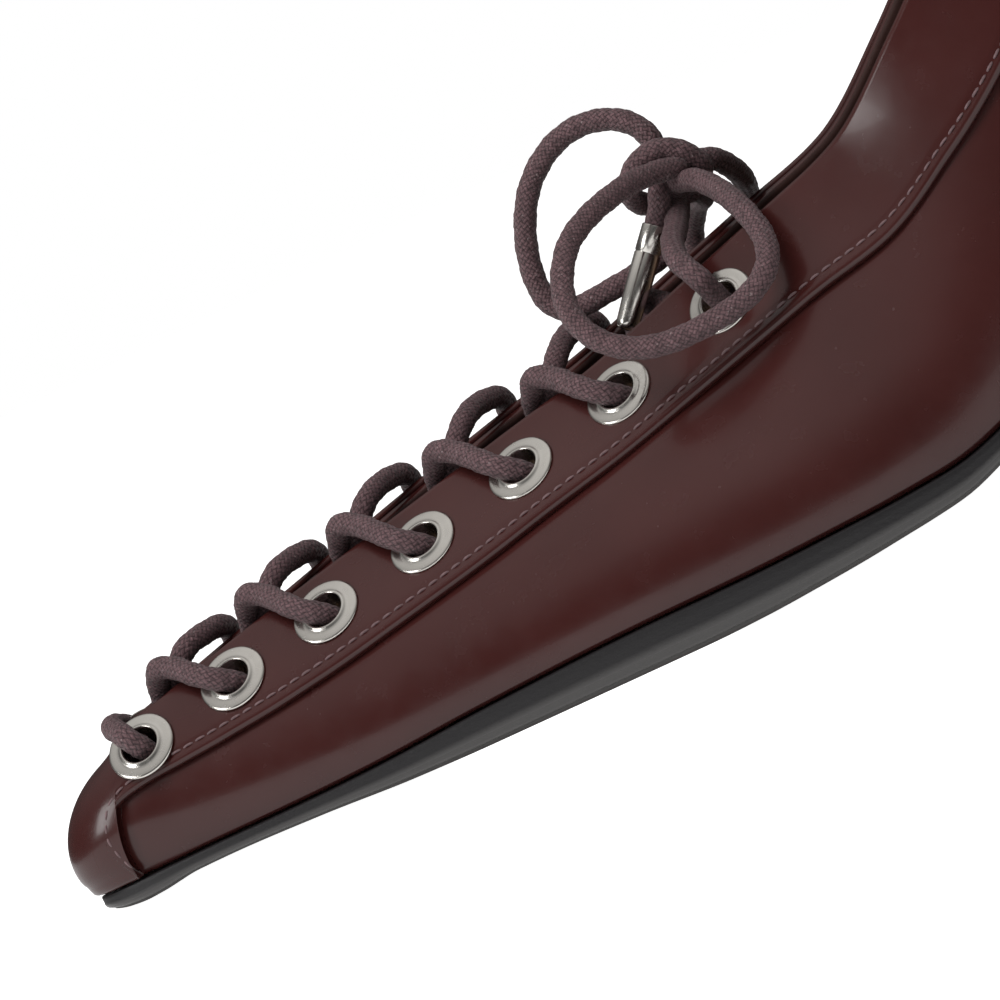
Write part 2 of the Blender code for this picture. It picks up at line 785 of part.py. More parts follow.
def edge_at(x, side):
    """Edge point and the wall's normal there, at a distance from the tip."""
    xs = column(EDGE_COLUMNS, EDGE, "x")
    places = column(EDGE_COLUMNS, EDGE, "edge_x")
    u = np.array(around(np.interp(x, places, xs), side))
    return edge_point(u), wall_normal(u, np.array(0.97))


def middle_between(x):
    """The point half way between the two edges, at a distance from the tip."""
    return (edge_at(x, -1)[0] + edge_at(x, 1)[0]) / 2


def crossing_route(index, side, seats):
    """One strand: from outside its own eyelet, over the edge, and in to the eyelet before, opposite."""
    centre, normal, _ = seats[(index, side)]
    other, other_normal, _ = seats[(index - 1, -side)]
    pitch = centre[0] - other[0]
    own, own_normal = edge_at(centre[0] - 0.24 * pitch, side)
    above, _ = edge_at(centre[0] - 0.34 * pitch, side)
    opposite, opposite_normal = edge_at(centre[0] - 0.78 * pitch, -side)
    return [
        centre + normal * (ABOVE_EYELET + 0.1),
        centre + normal * (ABOVE_EYELET + 0.5) + (own - centre) * 0.4,
        own + own_normal * (OVER + 0.9),
        above + np.array([0.0, 0.0, OVER + 0.3]),
        middle_between(centre[0] - 0.55 * pitch) + np.array([0.0, side * 0.1, 0.6]),
        opposite - opposite_normal * (BELOW_WALL + 0.8) + np.array([0.0, 0.0, -0.4]),
        other - other_normal * (BELOW_EYELET + 0.9),
    ]


def inner_route(index, side, seats):
    """One strand of the last crossing, inside the shoe, from the eyelet before to the top eyelet."""
    centre, normal, _ = seats[(index, side)]
    other, other_normal, _ = seats[(index - 1, -side)]
    start = other - other_normal * (BELOW_EYELET + 1.0)
    end = centre - normal * (BELOW_EYELET + 1.0)
    peak = middle_between((centre[0] + other[0]) / 2) + np.array([0.0, 0.0, -2.6])
    return [start, start * 0.5 + peak * 0.5, peak, end * 0.5 + peak * 0.5, end]


def joined_strands(name, first, second):
    """Two crossing strands as one solid."""
    strand = tube_object(name, flowing(first, 3.0), CORD_RADIUS, "cotton")
    over = tube_object(name + "_over", flowing(second, 3.0), CORD_RADIUS, "cotton")
    over.hide_render = True
    over.display_type = "WIRE"
    cut(strand, over, "UNION")


def make_bar(seats):
    """The first run of lace, across the outside from one first eyelet to the other."""
    points = []
    for side in (-1, 1):
        centre, normal, _ = seats[(0, side)]
        edge, edge_normal = edge_at(centre[0] + 0.5, side)
        leg = [
            centre + normal * (ABOVE_EYELET + 0.6),
            centre + normal * (ABOVE_EYELET + 1.2) + (edge - centre) * 0.4,
            edge + edge_normal * (OVER + 0.8),
        ]
        points += leg if side < 0 else leg[::-1]
    tube_object("lace_bar", flowing(points, 2.6), CORD_RADIUS, "cotton")


# Routes of the lace above the top eyelets, as points (x, y, z) in the last's millimetres
NEAR_LEAD = [
    (108.3, -23.2, 43.4),
    (106.9, -20.6, 46.6),
    (107.2, -15.6, 49.0),
    (108.6, -9.6, 50.6),
    (109.0, -7.4, 51.2),
]
FAR_LEAD = [
    (109.4, 23.0, 44.4),
    (110.8, 22.0, 48.4),
    (112.9, 17.4, 51.6),
    (113.9, 11.6, 52.2),
    (113.9, 6.6, 52.9),
    (113.0, 3.2, 53.9),
]
NEAR_LOOP = [
    (112.7, -6.5, 55.5),
    (113.8, -8.8, 55.1),
    (115.3, -11.8, 53.5),
    (116.7, -16.7, 51.0),
    (117.8, -21.2, 47.8),
    (118.2, -24.4, 44.4),
    (117.2, -27.0, 41.6),
    (115.0, -28.6, 39.7),
    (112.0, -29.2, 38.5),
    (108.2, -29.4, 37.9),
    (104.1, -29.4, 37.7),
    (100.3, -29.2, 38.0),
    (96.6, -29.0, 39.2),
    (93.4, -28.4, 41.6),
    (91.7, -27.6, 44.3),
    (91.1, -26.6, 47.1),
    (91.6, -25.2, 50.1),
    (92.9, -23.4, 52.7),
    (95.2, -20.8, 55.3),
    (98.9, -17.5, 57.2),
    (103.3, -13.5, 58.3),
    (106.6, -10.0, 58.6),
    (109.8, -7.2, 58.3),
]
FAR_LOOP = [
    (110.9, 1.7, 62.5),
    (109.8, 2.4, 65.2),
    (107.3, 3.6, 67.3),
    (103.3, 5.0, 68.4),
    (99.3, 6.2, 67.8),
    (95.6, 7.0, 65.8),
    (92.9, 7.3, 63.2),
    (90.7, 7.4, 59.6),
    (89.2, 7.2, 55.5),
    (88.6, 6.9, 51.3),
    (89.1, 6.4, 48.4),
    (90.6, 5.8, 46.8),
    (93.0, 5.2, 46.3),
    (96.4, 4.4, 46.5),
    (100.1, 3.6, 46.8),
    (103.8, 3.0, 47.3),
    (107.0, 2.8, 48.4),
    (109.6, 2.7, 51.4),
]
NEAR_TAIL = [
    (107.9, -5.1, 53.9),
    (107.2, -5.2, 52.9),
]
FAR_TAIL = [
    (115.3, 3.2, 57.3),
    (117.4, 5.2, 56.4),
    (118.9, 9.0, 54.6),
    (119.8, 13.2, 52.8),
    (120.0, 18.6, 50.9),
    (119.7, 22.0, 48.5),
]
KNOT_CENTRE = (111.4, -1.3, 57.1)
KNOT_REACH = (5.2, 4.7, 4.7)
AGLET_LENGTH = 14.5
AGLET_RADIUS = 1.6
AGLET_SIDES = 12
KNOT_SIDES = 12
NEAR_AGLET_WAY = (-10.0, -0.8, -11.3)
FAR_AGLET_WAY = (-1.0, 4.2, -9.6)


def make_cord(name, route):
    """A stretch of free lace as a round curve with closed ends."""
    points = stretch(flowing(route, 7.0)) * MM
    curve = bpy.data.curves.new(name, "CURVE")
    curve.dimensions = "3D"
    curve.bevel_depth = CORD_RADIUS * MM
    curve.bevel_resolution = 2
    curve.use_fill_caps = True
    line = curve.splines.new("POLY")
    line.points.add(len(points) - 1)
    for slot, point in zip(line.points, points):
        slot.co = (*point, 1.0)
    add_object(name, curve, "cotton")


def make_knot():
    """The knot's outer form, a lumpy closed ball."""
    rings, count = [], KNOT_SIDES
    for turn in np.radians(np.linspace(-70, 70, 5)):
        spin = 2 * math.pi * np.arange(count) / count
        swell_out = 1 + 0.08 * np.cos(3 * spin + turn)
        spoke = np.column_stack([np.cos(spin) * swell_out, np.sin(spin) * swell_out, np.zeros(count)])
        ring = spoke * math.cos(turn) + np.array([0, 0, math.sin(turn)])
        rings.append(np.array(KNOT_CENTRE) + ring * KNOT_REACH)
    faces = ring_faces(len(rings), count, closed=False)
    faces.append(list(range(count)))
    last = (len(rings) - 1) * count
    faces.append(list(range(last, last + count)))
    mesh_object("lace_knot", np.concatenate(rings), faces, "cotton")


def make_aglet(name, route, way):
    """The metal end of the lace, past the cord's own end: a sleeve with a groove and a rounded tip."""
    way = np.array(way) / np.linalg.norm(way)
    start = np.array(route[-1]) + way * (GAP + 1.1)
    side = np.cross(way, [0.0, 1.0, 0.0])
    side /= np.linalg.norm(side)
    profile = (
        (0.0, AGLET_RADIUS),
        (0.24, AGLET_RADIUS),
        (0.26, AGLET_RADIUS - 0.25),
        (0.28, AGLET_RADIUS),
        (0.93, AGLET_RADIUS - 0.15),
        (1.0, AGLET_RADIUS - 0.7),
    )
    rings = [
        turned_ring(start, way, side, radius, share * AGLET_LENGTH, AGLET_SIDES)
        for share, radius in profile
    ]
    faces = ring_faces(len(rings), AGLET_SIDES, closed=False)
    faces.append(list(range(AGLET_SIDES)))
    last = (len(rings) - 1) * AGLET_SIDES
    faces.append(list(range(last, last + AGLET_SIDES)))
    mesh_object(name, np.concatenate(rings), faces, "nickel")


def stand_over_origin(cords):
    """Move every piece so that the middle of the shoe's length and width, cords apart, is the origin."""
    solids = [made for made in bpy.data.objects if made.name not in cords and not made.hide_render]
    corners = np.concatenate([[v.co[:] for v in made.data.vertices] for made in solids])
    low, high = corners.min(axis=0), corners.max(axis=0)
    shift = Matrix.Translation((-(low[0] + high[0]) / 2, -(low[1] + high[1]) / 2, -low[2]))
    for made in bpy.data.objects:
        made.data.transform(shift)


def main():
    """Build every piece and stand the shoe over the origin."""
    for old in list(bpy.data.objects):
        bpy.data.objects.remove(old, do_unlink=True)
    upper = make_upper()
    path = facing_path(facing_edge())
    facing = make_facing(path)
    make_outsole()
    make_insole()
    make_heel()
    make_heel_tip()
    seats = {(i, side): eyelet_seat(i, side) for i in range(len(EYELETS)) for side in (-1, 1)}
    cutter = make_hole_cutter([seats[key] for key in sorted(seats)])
    cut(upper, cutter)
    cut(facing, cutter)
    for (index, side), seat in seats.items():
        make_eyelet(f"eyelet_{'l' if side < 0 else 'm'}{index + 1}", seat)
    make_bar(seats)
    for index in range(1, len(EYELETS) - 1):
        strands = [crossing_route(index, side, seats) for side in (1, -1)]
        joined_strands(f"lace_cross_{index + 1}", *strands)
    last = len(EYELETS) - 1
    joined_strands(f"lace_cross_{last + 1}", *[inner_route(last, side, seats) for side in (1, -1)])
    cords = {
        "lace_lead_l": NEAR_LEAD,
        "lace_lead_m": FAR_LEAD,
        "lace_loop_near": NEAR_LOOP,
        "lace_loop_far": FAR_LOOP,
        "lace_tail_l": NEAR_TAIL,
        "lace_tail_m": FAR_TAIL,
    }
    for name, route in cords.items():
        make_cord(name, route)
    make_knot()
    make_aglet("aglet_l", NEAR_TAIL, NEAR_AGLET_WAY)
    make_aglet("aglet_m", FAR_TAIL, FAR_AGLET_WAY)
    stand_over_origin((*cords, "lace_knot", "aglet_l", "aglet_m"))


main()
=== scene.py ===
"""Lace up heel: the looks of a pointed leather pump, laced over the instep.

Shapes are worked out in millimetres of the last, with x measured back from the tip of the toe, the
wearer's left at -y and the ground at z = 0, and are moved to the packed model's frame in metres.
"""

import math

import bpy
import numpy as np
from bpy.props import FloatProperty, FloatVectorProperty, PointerProperty
from mathutils import Matrix, Vector


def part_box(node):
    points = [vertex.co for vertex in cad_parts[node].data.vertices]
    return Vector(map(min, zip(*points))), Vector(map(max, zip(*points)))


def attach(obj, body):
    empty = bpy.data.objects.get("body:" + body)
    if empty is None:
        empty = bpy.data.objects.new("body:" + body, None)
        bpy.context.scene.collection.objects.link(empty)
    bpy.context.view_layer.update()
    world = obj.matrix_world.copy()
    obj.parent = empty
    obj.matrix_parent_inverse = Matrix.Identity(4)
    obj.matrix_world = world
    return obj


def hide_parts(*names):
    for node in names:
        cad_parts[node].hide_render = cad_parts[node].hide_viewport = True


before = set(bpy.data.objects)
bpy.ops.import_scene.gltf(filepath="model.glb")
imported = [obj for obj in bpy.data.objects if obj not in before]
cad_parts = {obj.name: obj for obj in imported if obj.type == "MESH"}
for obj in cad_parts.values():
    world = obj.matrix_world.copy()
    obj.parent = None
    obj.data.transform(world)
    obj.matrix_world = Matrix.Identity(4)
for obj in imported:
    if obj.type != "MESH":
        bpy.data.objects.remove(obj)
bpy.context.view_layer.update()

bl_info = {
    "name": "Lace Up Heel",
    "version": (1, 0, 0),
    "blender": (4, 5, 0),
    "location": "View3D > Sidebar > Heel",
    "description": "Builds a laced leather pump around its packed solids",
    "category": "Object",
}

MM = 0.001
GAP = 0.3
WALL = 1.6
LAST_LENGTH = 258.0
LENGTH = 260.5
CORD_DIAMETER = 3.5
SOLE_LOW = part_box("outsole")[0]
LATERAL_REACH = 39.0
SHIFT = np.array([SOLE_LOW[0] * 1000, SOLE_LOW[1] * 1000 + LATERAL_REACH, 0.0])

# Outline of the sole seen from above: half widths outward and inward of the long axis
OUTLINE_COLUMNS = ("x", "lateral", "medial")
OUTLINE = [
    (0, 0.0, 0.0),
    (4, 6.2, 6.0),
    (8, 8.6, 8.2),
    (15, 11.6, 11.0),
    (30, 16.8, 15.6),
    (45, 21.6, 19.8),
    (60, 26.2, 24.0),
    (75, 30.6, 28.2),
    (90, 34.6, 32.2),
    (105, 37.6, 35.0),
    (118, 39.0, 35.6),
    (130, 38.6, 33.6),
    (142, 36.6, 30.0),
    (158, 32.4, 25.2),
    (178, 28.0, 22.2),
    (198, 26.6, 23.2),
    (218, 27.2, 25.4),
    (236, 25.8, 25.2),
    (250, 19.2, 19.0),
    (258, 0.0, 0.0),
]

# Side profile of the sole: height of its underside, and how thick its side stands
PROFILE_COLUMNS = ("x", "under", "side")
PROFILE = [
    (0, 0.6, 2.3),
    (2.5, 0.25, 2.7),
    (5, 0.15, 2.9),
    (8, 0.35, 2.8),
    (14, 1.1, 2.2),
    (20, 1.2, 2.2),
    (32, 0.9, 2.6),
    (46, 0.2, 3.8),
    (58, 0.0, 4.8),
    (88, 0.0, 5.8),
    (97, 0.25, 5.6),
    (104, 0.7, 5.3),
    (111, 1.25, 5.0),
    (117, 1.85, 4.6),
    (122, 2.35, 4.4),
    (127, 3.05, 4.1),
    (133, 4.9, 3.6),
    (149, 11.4, 3.2),
    (165, 21.5, 3.0),
    (180, 33.5, 3.0),
    (195, 46.0, 3.0),
    (210, 58.3, 3.0),
    (225, 68.8, 3.0),
    (240, 76.6, 3.0),
    (258, 84.0, 3.0),
]

# Top edge of the upper, along the throat and then the collar, for each place along the feather line:
# where it lies, how far from the long axis on either side, its height, and how much higher it is inward
EDGE_COLUMNS = ("x", "edge_x", "lateral", "medial", "height", "inward_rise")
EDGE = [
    (0, 10.2, 0.0, 0.0, 18.2, 0.0),
    (4, 12.4, 2.3, 2.3, 20.0, 0.0),
    (8, 15.0, 3.2, 3.2, 21.6, 0.0),
    (15, 20.5, 4.0, 4.0, 23.2, 0.0),
    (30, 33.5, 4.7, 4.7, 26.5, 0.2),
    (45, 46.5, 5.5, 5.4, 29.2, 0.8),
    (60, 60.5, 6.8, 6.5, 32.0, 1.5),
    (75, 75.5, 8.5, 8.0, 35.1, 1.9),
    (90, 90.5, 10.6, 9.8, 38.2, 2.0),
    (105, 105.5, 12.8, 11.8, 42.9, 1.7),
    (118, 119.0, 16.0, 14.6, 47.1, 1.4),
    (130, 132.0, 20.2, 18.2, 51.6, 0.8),
    (142, 145.4, 24.2, 21.6, 62.0, 0.2),
    (158, 162.4, 26.6, 24.4, 77.5, 0.0),
    (178, 184.0, 27.8, 26.4, 95.0, 0.0),
    (198, 206.0, 27.4, 26.8, 112.5, 0.0),
    (218, 225.0, 25.0, 24.8, 124.8, 0.0),
    (236, 240.5, 19.6, 19.4, 133.2, 0.0),
    (250, 251.0, 10.4, 10.4, 138.0, 0.0),
    (258, 254.0, 0.0, 0.0, 139.4, 0.0),
]

# How the wall swells between feather line and edge: how far it leans out and rises above the feather, how
# long it runs straight below the edge, and its slope there in degrees
SWELL_COLUMNS = ("x", "out", "rise", "run", "slope")
SWELL = [
    (0, 4.4, 5.3, 8.2, 13),
    (4, 4.0, 6.0, 9.0, 22),
    (8, 3.4, 7.0, 9.2, 31),
    (15, 2.8, 8.0, 9.6, 41),
    (30, 2.4, 10.0, 10.5, 47),
    (60, 2.2, 12.0, 11.5, 51),
    (90, 2.4, 14.0, 13.5, 52),
    (105, 2.4, 15.0, 14.5, 54),
    (118, 2.4, 16.0, 15.5, 58),
    (130, 2.4, 17.0, 16.5, 67),
    (142, 2.4, 18.0, 17.5, 77),
    (158, 2.6, 18.0, 18.0, 84),
    (178, 3.0, 18.0, 18.0, 85),
    (218, 4.0, 18.0, 18.0, 82),
    (258, 5.0, 18.0, 20.0, 78),
]

# Outer cut edge of the facing seen from the side, as distance from the tip and height: from the sole at
# the toe, round the wrap and back
FACING = [
    (7.0, 4.4),
    (5.4, 6.6),
    (4.9, 8.6),
    (5.6, 11.0),
    (8.4, 13.3),
    (14.0, 14.4),
    (24.0, 15.0),
    (35.5, 16.1),
    (53.0, 18.9),
    (69.5, 22.0),
    (86.5, 25.7),
    (104.0, 29.9),
    (118.0, 33.6),
    (130.0, 36.6),
    (141.0, 41.2),
    (153.5, 49.0),
    (165.0, 60.5),
    (184.0, 79.5),
    (206.0, 98.0),
    (228.0, 112.5),
    (246.0, 121.5),
]


def column(columns, rows, name):
    """One named column of a table."""
    return np.array([row[columns.index(name)] for row in rows], float)


def smooth(x, xs, ys):
    """Monotone cubic curve through table values, without overshoot between rows."""
    step = np.diff(xs)
    slope = np.diff(ys) / step
    tangent = np.empty_like(ys)
    tangent[0], tangent[-1] = slope[0], slope[-1]
    before, after = slope[:-1], slope[1:]
    weight_a, weight_b = 2 * step[1:] + step[:-1], step[1:] + 2 * step[:-1]
    same = before * after > 0
    safe_before, safe_after = np.where(same, before, 1.0), np.where(same, after, 1.0)
    mean = (weight_a + weight_b) / (weight_a / safe_before + weight_b / safe_after)
    tangent[1:-1] = np.where(same, mean, 0.0)
    x = np.clip(x, xs[0], xs[-1])
    k = np.clip(np.searchsorted(xs, x, side="right") - 1, 0, len(xs) - 2)
    t = (x - xs[k]) / step[k]
    return (
        (2 * t**3 - 3 * t**2 + 1) * ys[k]
        + (t**3 - 2 * t**2 + t) * step[k] * tangent[k]
        + (-2 * t**3 + 3 * t**2) * ys[k + 1]
        + (t**3 - t**2) * step[k] * tangent[k + 1]
    )


def reading(x, columns, rows, name):
    """One named column of a table, read smoothly at distances from the tip."""
    return smooth(x, column(columns, rows, "x"), column(columns, rows, name))


def rounded(x, xs, halves):
    """A half width that closes round at both ends, because its square is what runs smoothly."""
    return np.sqrt(np.maximum(smooth(x, xs, halves**2), 0.0))


def place_along(u):
    """Distance from the tip for a place u round the shoe: 0 tip, 1 heel by the outer side, 2 tip again."""
    u = np.mod(u, 2.0)
    s = np.where(u <= 1.0, u, 2.0 - u)
    return LAST_LENGTH * (1 - np.cos(math.pi * s)) / 2


def sides(u):
    """-1 on the outer side and +1 on the inner side."""
    return np.where(np.mod(u, 2.0) <= 1.0, -1.0, 1.0)


def around(x, side):
    """The place u round the shoe at a distance from the tip, on one side."""
    s = np.arccos(np.clip(1 - 2 * np.asarray(x, float) / LAST_LENGTH, -1, 1)) / math.pi
    return s if side < 0 else 2.0 - s


def two_sided(u, columns, rows):
    """The rounded half width of a table with a lateral and a medial column, with its sign."""
    x = place_along(u)
    xs = column(columns, rows, "x")
    lateral = rounded(x, xs, column(columns, rows, "lateral"))
    medial = rounded(x, xs, column(columns, rows, "medial"))
    return np.where(sides(u) < 0, -lateral, medial)


HEADING_STEP = 0.004


def outline(u, inset=0.0):
    """Points of the sole's outline in plan, moved inward by inset."""
    x = place_along(u)
    y = two_sided(u, OUTLINE_COLUMNS, OUTLINE)
    if not inset:
        return x, y
    along_x, along_y, size = outline_heading(u)
    return x - inset * along_y / size, y + inset * along_x / size


def outline_heading(u):
    """The outline's direction at a place round the shoe: its two parts and their length."""
    ahead_x, ahead_y = outline(u + HEADING_STEP)
    behind_x, behind_y = outline(u - HEADING_STEP)
    along_x, along_y = ahead_x - behind_x, ahead_y - behind_y
    return along_x, along_y, np.maximum(np.hypot(along_x, along_y), 1e-9)


def under_height(x):
    """Height of the sole's underside."""
    return reading(x, PROFILE_COLUMNS, PROFILE, "under")


def feather_height(x):
    """Height of the sole's top, where the upper meets it."""
    return under_height(x) + reading(x, PROFILE_COLUMNS, PROFILE, "side")


def swell(u, name):
    """One value of the swell table at a place round the shoe."""
    return reading(place_along(u), SWELL_COLUMNS, SWELL, name)


def edge_point(u):
    """The top edge of the upper at a place round the shoe."""
    x = place_along(u)
    names = ("edge_x", "height", "inward_rise")
    edge_x, height, rise = (reading(x, EDGE_COLUMNS, EDGE, name) for name in names)
    height = height + np.where(sides(u) > 0, rise, 0.0)
    return np.stack([edge_x, two_sided(u, EDGE_COLUMNS, EDGE), height], axis=-1)


def outward(u):
    """The level direction that points out of the shoe, square to the outline."""
    along_x, along_y, size = outline_heading(u)
    return np.stack([along_y / size, -along_x / size, np.zeros_like(size)], axis=-1)


UPPER_INSET = 1.3


def wall_point(u, v):
    """The outer surface of the upper: v is 0 at the feather line and 1 at the top edge.

    Each place round the shoe has one cubic curve. It starts on the feather line, leans out and rises,
    and ends at the edge with the slope and the straight run of the swell table.
    """
    u, v = np.broadcast_arrays(np.asarray(u, float), np.asarray(v, float))
    foot_x, foot_y = outline(u, UPPER_INSET)
    foot = np.stack([foot_x, foot_y, feather_height(np.clip(foot_x, 0, LAST_LENGTH)) + GAP], axis=-1)
    out = outward(u)
    up = np.array([0.0, 0.0, 1.0])
    top = edge_point(u)
    slope = np.radians(swell(u, "slope"))[..., None]
    low = foot + out * swell(u, "out")[..., None] + up * swell(u, "rise")[..., None]
    high = top + swell(u, "run")[..., None] * (out * np.cos(slope) - up * np.sin(slope))
    v = v[..., None]
    return (
        (1 - v) ** 3 * foot + 3 * (1 - v) ** 2 * v * low + 3 * (1 - v) * v**2 * high + v**3 * top
    )


def wall_normal(u, v):
    """Unit normal of the upper's surface, pointing out of the shoe."""
    step = 0.003
    low, high = np.clip(v - step, 0, 1), np.clip(v + step, 0, 1)
    along = wall_point(u + step, v) - wall_point(u - step, v)
    upward = wall_point(u, high) - wall_point(u, low)
    normal = np.cross(along, upward)
    return normal / np.maximum(np.linalg.norm(normal, axis=-1, keepdims=True), 1e-9)


def skin(u, v, lift):
    """A point at a distance off the upper's outer surface."""
    return wall_point(u, v) + np.asarray(lift)[..., None] * wall_normal(u, v)


def run_along(line):
    """The length run along a line at each of its points."""
    return np.concatenate([[0], np.cumsum(np.linalg.norm(np.diff(line, axis=0), axis=1))])


def share_at_height(u, height):
    """The v at which the wall reaches a height."""
    v = np.linspace(0, 1, 201)
    rows = wall_point(np.full_like(v, u), v)[:, 2]
    return float(np.interp(height, rows, v))


def share_below_edge(u, distance):
    """The v that lies a distance below the edge, measured along the wall."""
    v = np.linspace(1, 0.2, 400)
    line = wall_point(np.full_like(v, u), v)
    run = run_along(line)
    return float(np.interp(distance, run, v))


# Placing and meshing

def to_frame(points):
    """Millimetres of the last to metres of the packed model."""
    points = np.asarray(points, float) * [LENGTH / LAST_LENGTH, 1.0, 1.0]
    return (points + SHIFT) * MM


def add_mesh(name, points, faces, materials, face_material=None):
    """A mesh object at the origin from points in the last's millimetres and a list of face arrays."""
    mesh = bpy.data.meshes.new(name)
    flat = np.concatenate([np.asarray(f, np.int64).ravel() for f in faces])
    sizes = np.concatenate([np.full(len(f), np.asarray(f).shape[1], np.int64) for f in faces])
    mesh.vertices.add(len(points))
    mesh.vertices.foreach_set("co", to_frame(points).ravel())
    mesh.loops.add(len(flat))
    mesh.loops.foreach_set("vertex_index", flat)
    mesh.polygons.add(len(sizes))
    mesh.polygons.foreach_set("loop_start", np.concatenate([[0], np.cumsum(sizes)[:-1]]))
    mesh.polygons.foreach_set("loop_total", sizes)
    if face_material is not None:
        mesh.polygons.foreach_set("material_index", np.asarray(face_material, np.int32))
    mesh.update(calc_edges=True)
    mesh.validate()
    mesh.shade_smooth()
    for entry in materials:
        mesh.materials.append(entry)
    made = bpy.data.objects.new(name, mesh)
    bpy.context.scene.collection.objects.link(made)
    return made


def dress(piece, *nodes, slot="cotton"):
    """A piece rides with the shoe, stands for its solids and takes its slot's finish."""
    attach(piece, "root")
    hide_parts(*nodes)


def point_value(made, name, values):
    """Stores one number for each vertex."""
    layer = made.data.attributes.new(name, "FLOAT", "POINT")
    layer.data.foreach_set("value", np.asarray(values, np.float32))


def quads(rows, columns, wrap_columns=False, wrap_rows=False):
    """Quads of a grid of rows by columns, as index rows, with either way closed on itself."""
    r = np.arange(rows if wrap_rows else rows - 1)
    c = np.arange(columns if wrap_columns else columns - 1)
    r, c = np.meshgrid(r, c, indexing="ij")
    r2, c2 = (r + 1) % rows, (c + 1) % columns
    a, b = r * columns + c, r * columns + c2
    d, e = r2 * columns + c2, r2 * columns + c
    return np.stack([a.ravel(), b.ravel(), d.ravel(), e.ravel()], axis=1)


def shell(outer, inner, keep):
    """Points and faces of a closed wall between two grids that wrap round in their columns.

    keep marks the cells that stay. Where a kept cell borders a cell that goes, or the grid's own edge,
    a side face joins the outer grid to the inner one.
    """
    rows, columns = outer.shape[:2]
    faces = quads(rows, columns, wrap_columns=True)
    kept = faces[keep.ravel()]
    base = rows * columns
    sides_made = []
    right = np.roll(keep, -1, axis=1)
    left = np.roll(keep, 1, axis=1)
    above = np.vstack([keep[1:], np.zeros((1, columns), bool)])
    below = np.vstack([np.zeros((1, columns), bool), keep[:-1]])
    cell = faces.reshape(rows - 1, columns, 4)
    for neighbour, first, second in ((below, 0, 1), (right, 1, 2), (above, 2, 3), (left, 3, 0)):
        edge = keep & ~neighbour
        a, b = cell[edge][:, first], cell[edge][:, second]
        sides_made.append(np.stack([b, a, a + base, b + base], axis=1))
    walls = np.concatenate(sides_made)
    points = np.concatenate([outer.reshape(-1, 3), inner.reshape(-1, 3)])
    return points, kept, (kept + base)[:, ::-1], walls


def unit(way):
    """A direction at length 1."""
    return np.asarray(way, float) / np.linalg.norm(way)


def full_turn(count):
    """Angles of a full turn in even steps."""
    return 2 * math.pi * np.arange(count) / count


def cap_fan(first, count, centre_index, flip=False):
    """Triangles from a ring of vertices to one centre vertex."""
    i = np.arange(count)
    j = (i + 1) % count
    fan = np.stack([first + i, first + j, np.full(count, centre_index)], axis=1)
    return fan[:, ::-1] if flip else fan


def bridge(first, count):
    """Quads that close a ring round the shoe by joining its two sides; the ends are triangles."""
    half = count // 2
    i = np.arange(1, half - 1)
    inner = np.stack([first + i, first + i + 1, first + count - i - 1, first + count - i], axis=1)
    near_end = [first, first + 1, first + count - 1]
    far_end = [first + half - 1, first + half, first + half + 1]
    return inner, np.array([near_end, far_end])


def closed_rings(rings, count):
    """Faces of a closed form built of rings: its bands, then a cover on the first and the last ring."""
    first, first_ends = bridge(0, count)
    last, last_ends = bridge((len(rings) - 1) * count, count)
    bands = quads(len(rings), count, wrap_columns=True)
    return [bands, first[:, ::-1], last, first_ends[:, ::-1], last_ends]


def flowing(points):
    """A smooth curve through route points, read at even steps: a centripetal spline."""
    points = np.asarray(points, float)
    padded = np.vstack([2 * points[0] - points[1], points, 2 * points[-1] - points[-2]])
    line = []
    for k in range(1, len(padded) - 2):
        p = padded[k - 1 : k + 3]
        knots = np.concatenate(
            [[0], np.cumsum(np.maximum(np.linalg.norm(np.diff(p, axis=0), axis=1), 1e-6) ** 0.5)]
        )
        t = np.linspace(knots[1], knots[2], 24, endpoint=False)[:, None]
        a = [
            (knots[i + 1] - t) / (knots[i + 1] - knots[i]) * p[i]
            + (t - knots[i]) / (knots[i + 1] - knots[i]) * p[i + 1]
            for i in range(3)
        ]
        b = [
            (knots[i + 2] - t) / (knots[i + 2] - knots[i]) * a[i]
            + (t - knots[i]) / (knots[i + 2] - knots[i]) * a[i + 1]
            for i in range(2)
        ]
        span = knots[2] - knots[1]
        line.append((knots[2] - t) / span * b[0] + (t - knots[1]) / span * b[1])
    line = np.vstack(line + [points[-1:]])
    run = run_along(line)
    at = np.linspace(0, run[-1], max(4, int(round(run[-1] / ROUTE_STEP)) + 1))
    return np.stack([np.interp(at, run, line[:, k]) for k in range(3)], axis=1)


def carried_frames(line):
    """Two unit vectors square to a line at each of its points, carried along without twist."""
    ahead = np.gradient(line, axis=0)
    ahead /= np.linalg.norm(ahead, axis=1, keepdims=True)
    side = np.cross(ahead[0], [0.0, 0.0, 1.0])
    if np.linalg.norm(side) < 0.1:
        side = np.cross(ahead[0], [1.0, 0.0, 0.0])
    first = np.empty_like(line)
    for k, direction in enumerate(ahead):
        side = side - direction * (side @ direction)
        side /= np.linalg.norm(side)
        first[k] = side
    return first, np.cross(ahead, first)


# Materials

def new_material(name):
    """An empty node material with its shader, and short ways to add nodes and links."""
    made = bpy.data.materials.new(name)
    made.use_nodes = True
    tree = made.node_tree
    shader = tree.nodes["Principled BSDF"]

    def node(kind, **settings):
        fresh = tree.nodes.new(kind)
        for key, value in settings.items():
            setattr(fresh, key, value)
        return fresh

    def link(source, target):
        tree.links.new(source, target)

    return made, shader, node, link


def object_coordinates(node, link, scale=(1, 1, 1)):
    """Object coordinates in metres, scaled."""
    where = node("ShaderNodeTexCoord")
    mapping = node("ShaderNodeMapping")
    mapping.inputs["Scale"].default_value = scale
    link(where.outputs["Object"], mapping.inputs["Vector"])
    return mapping.outputs["Vector"]


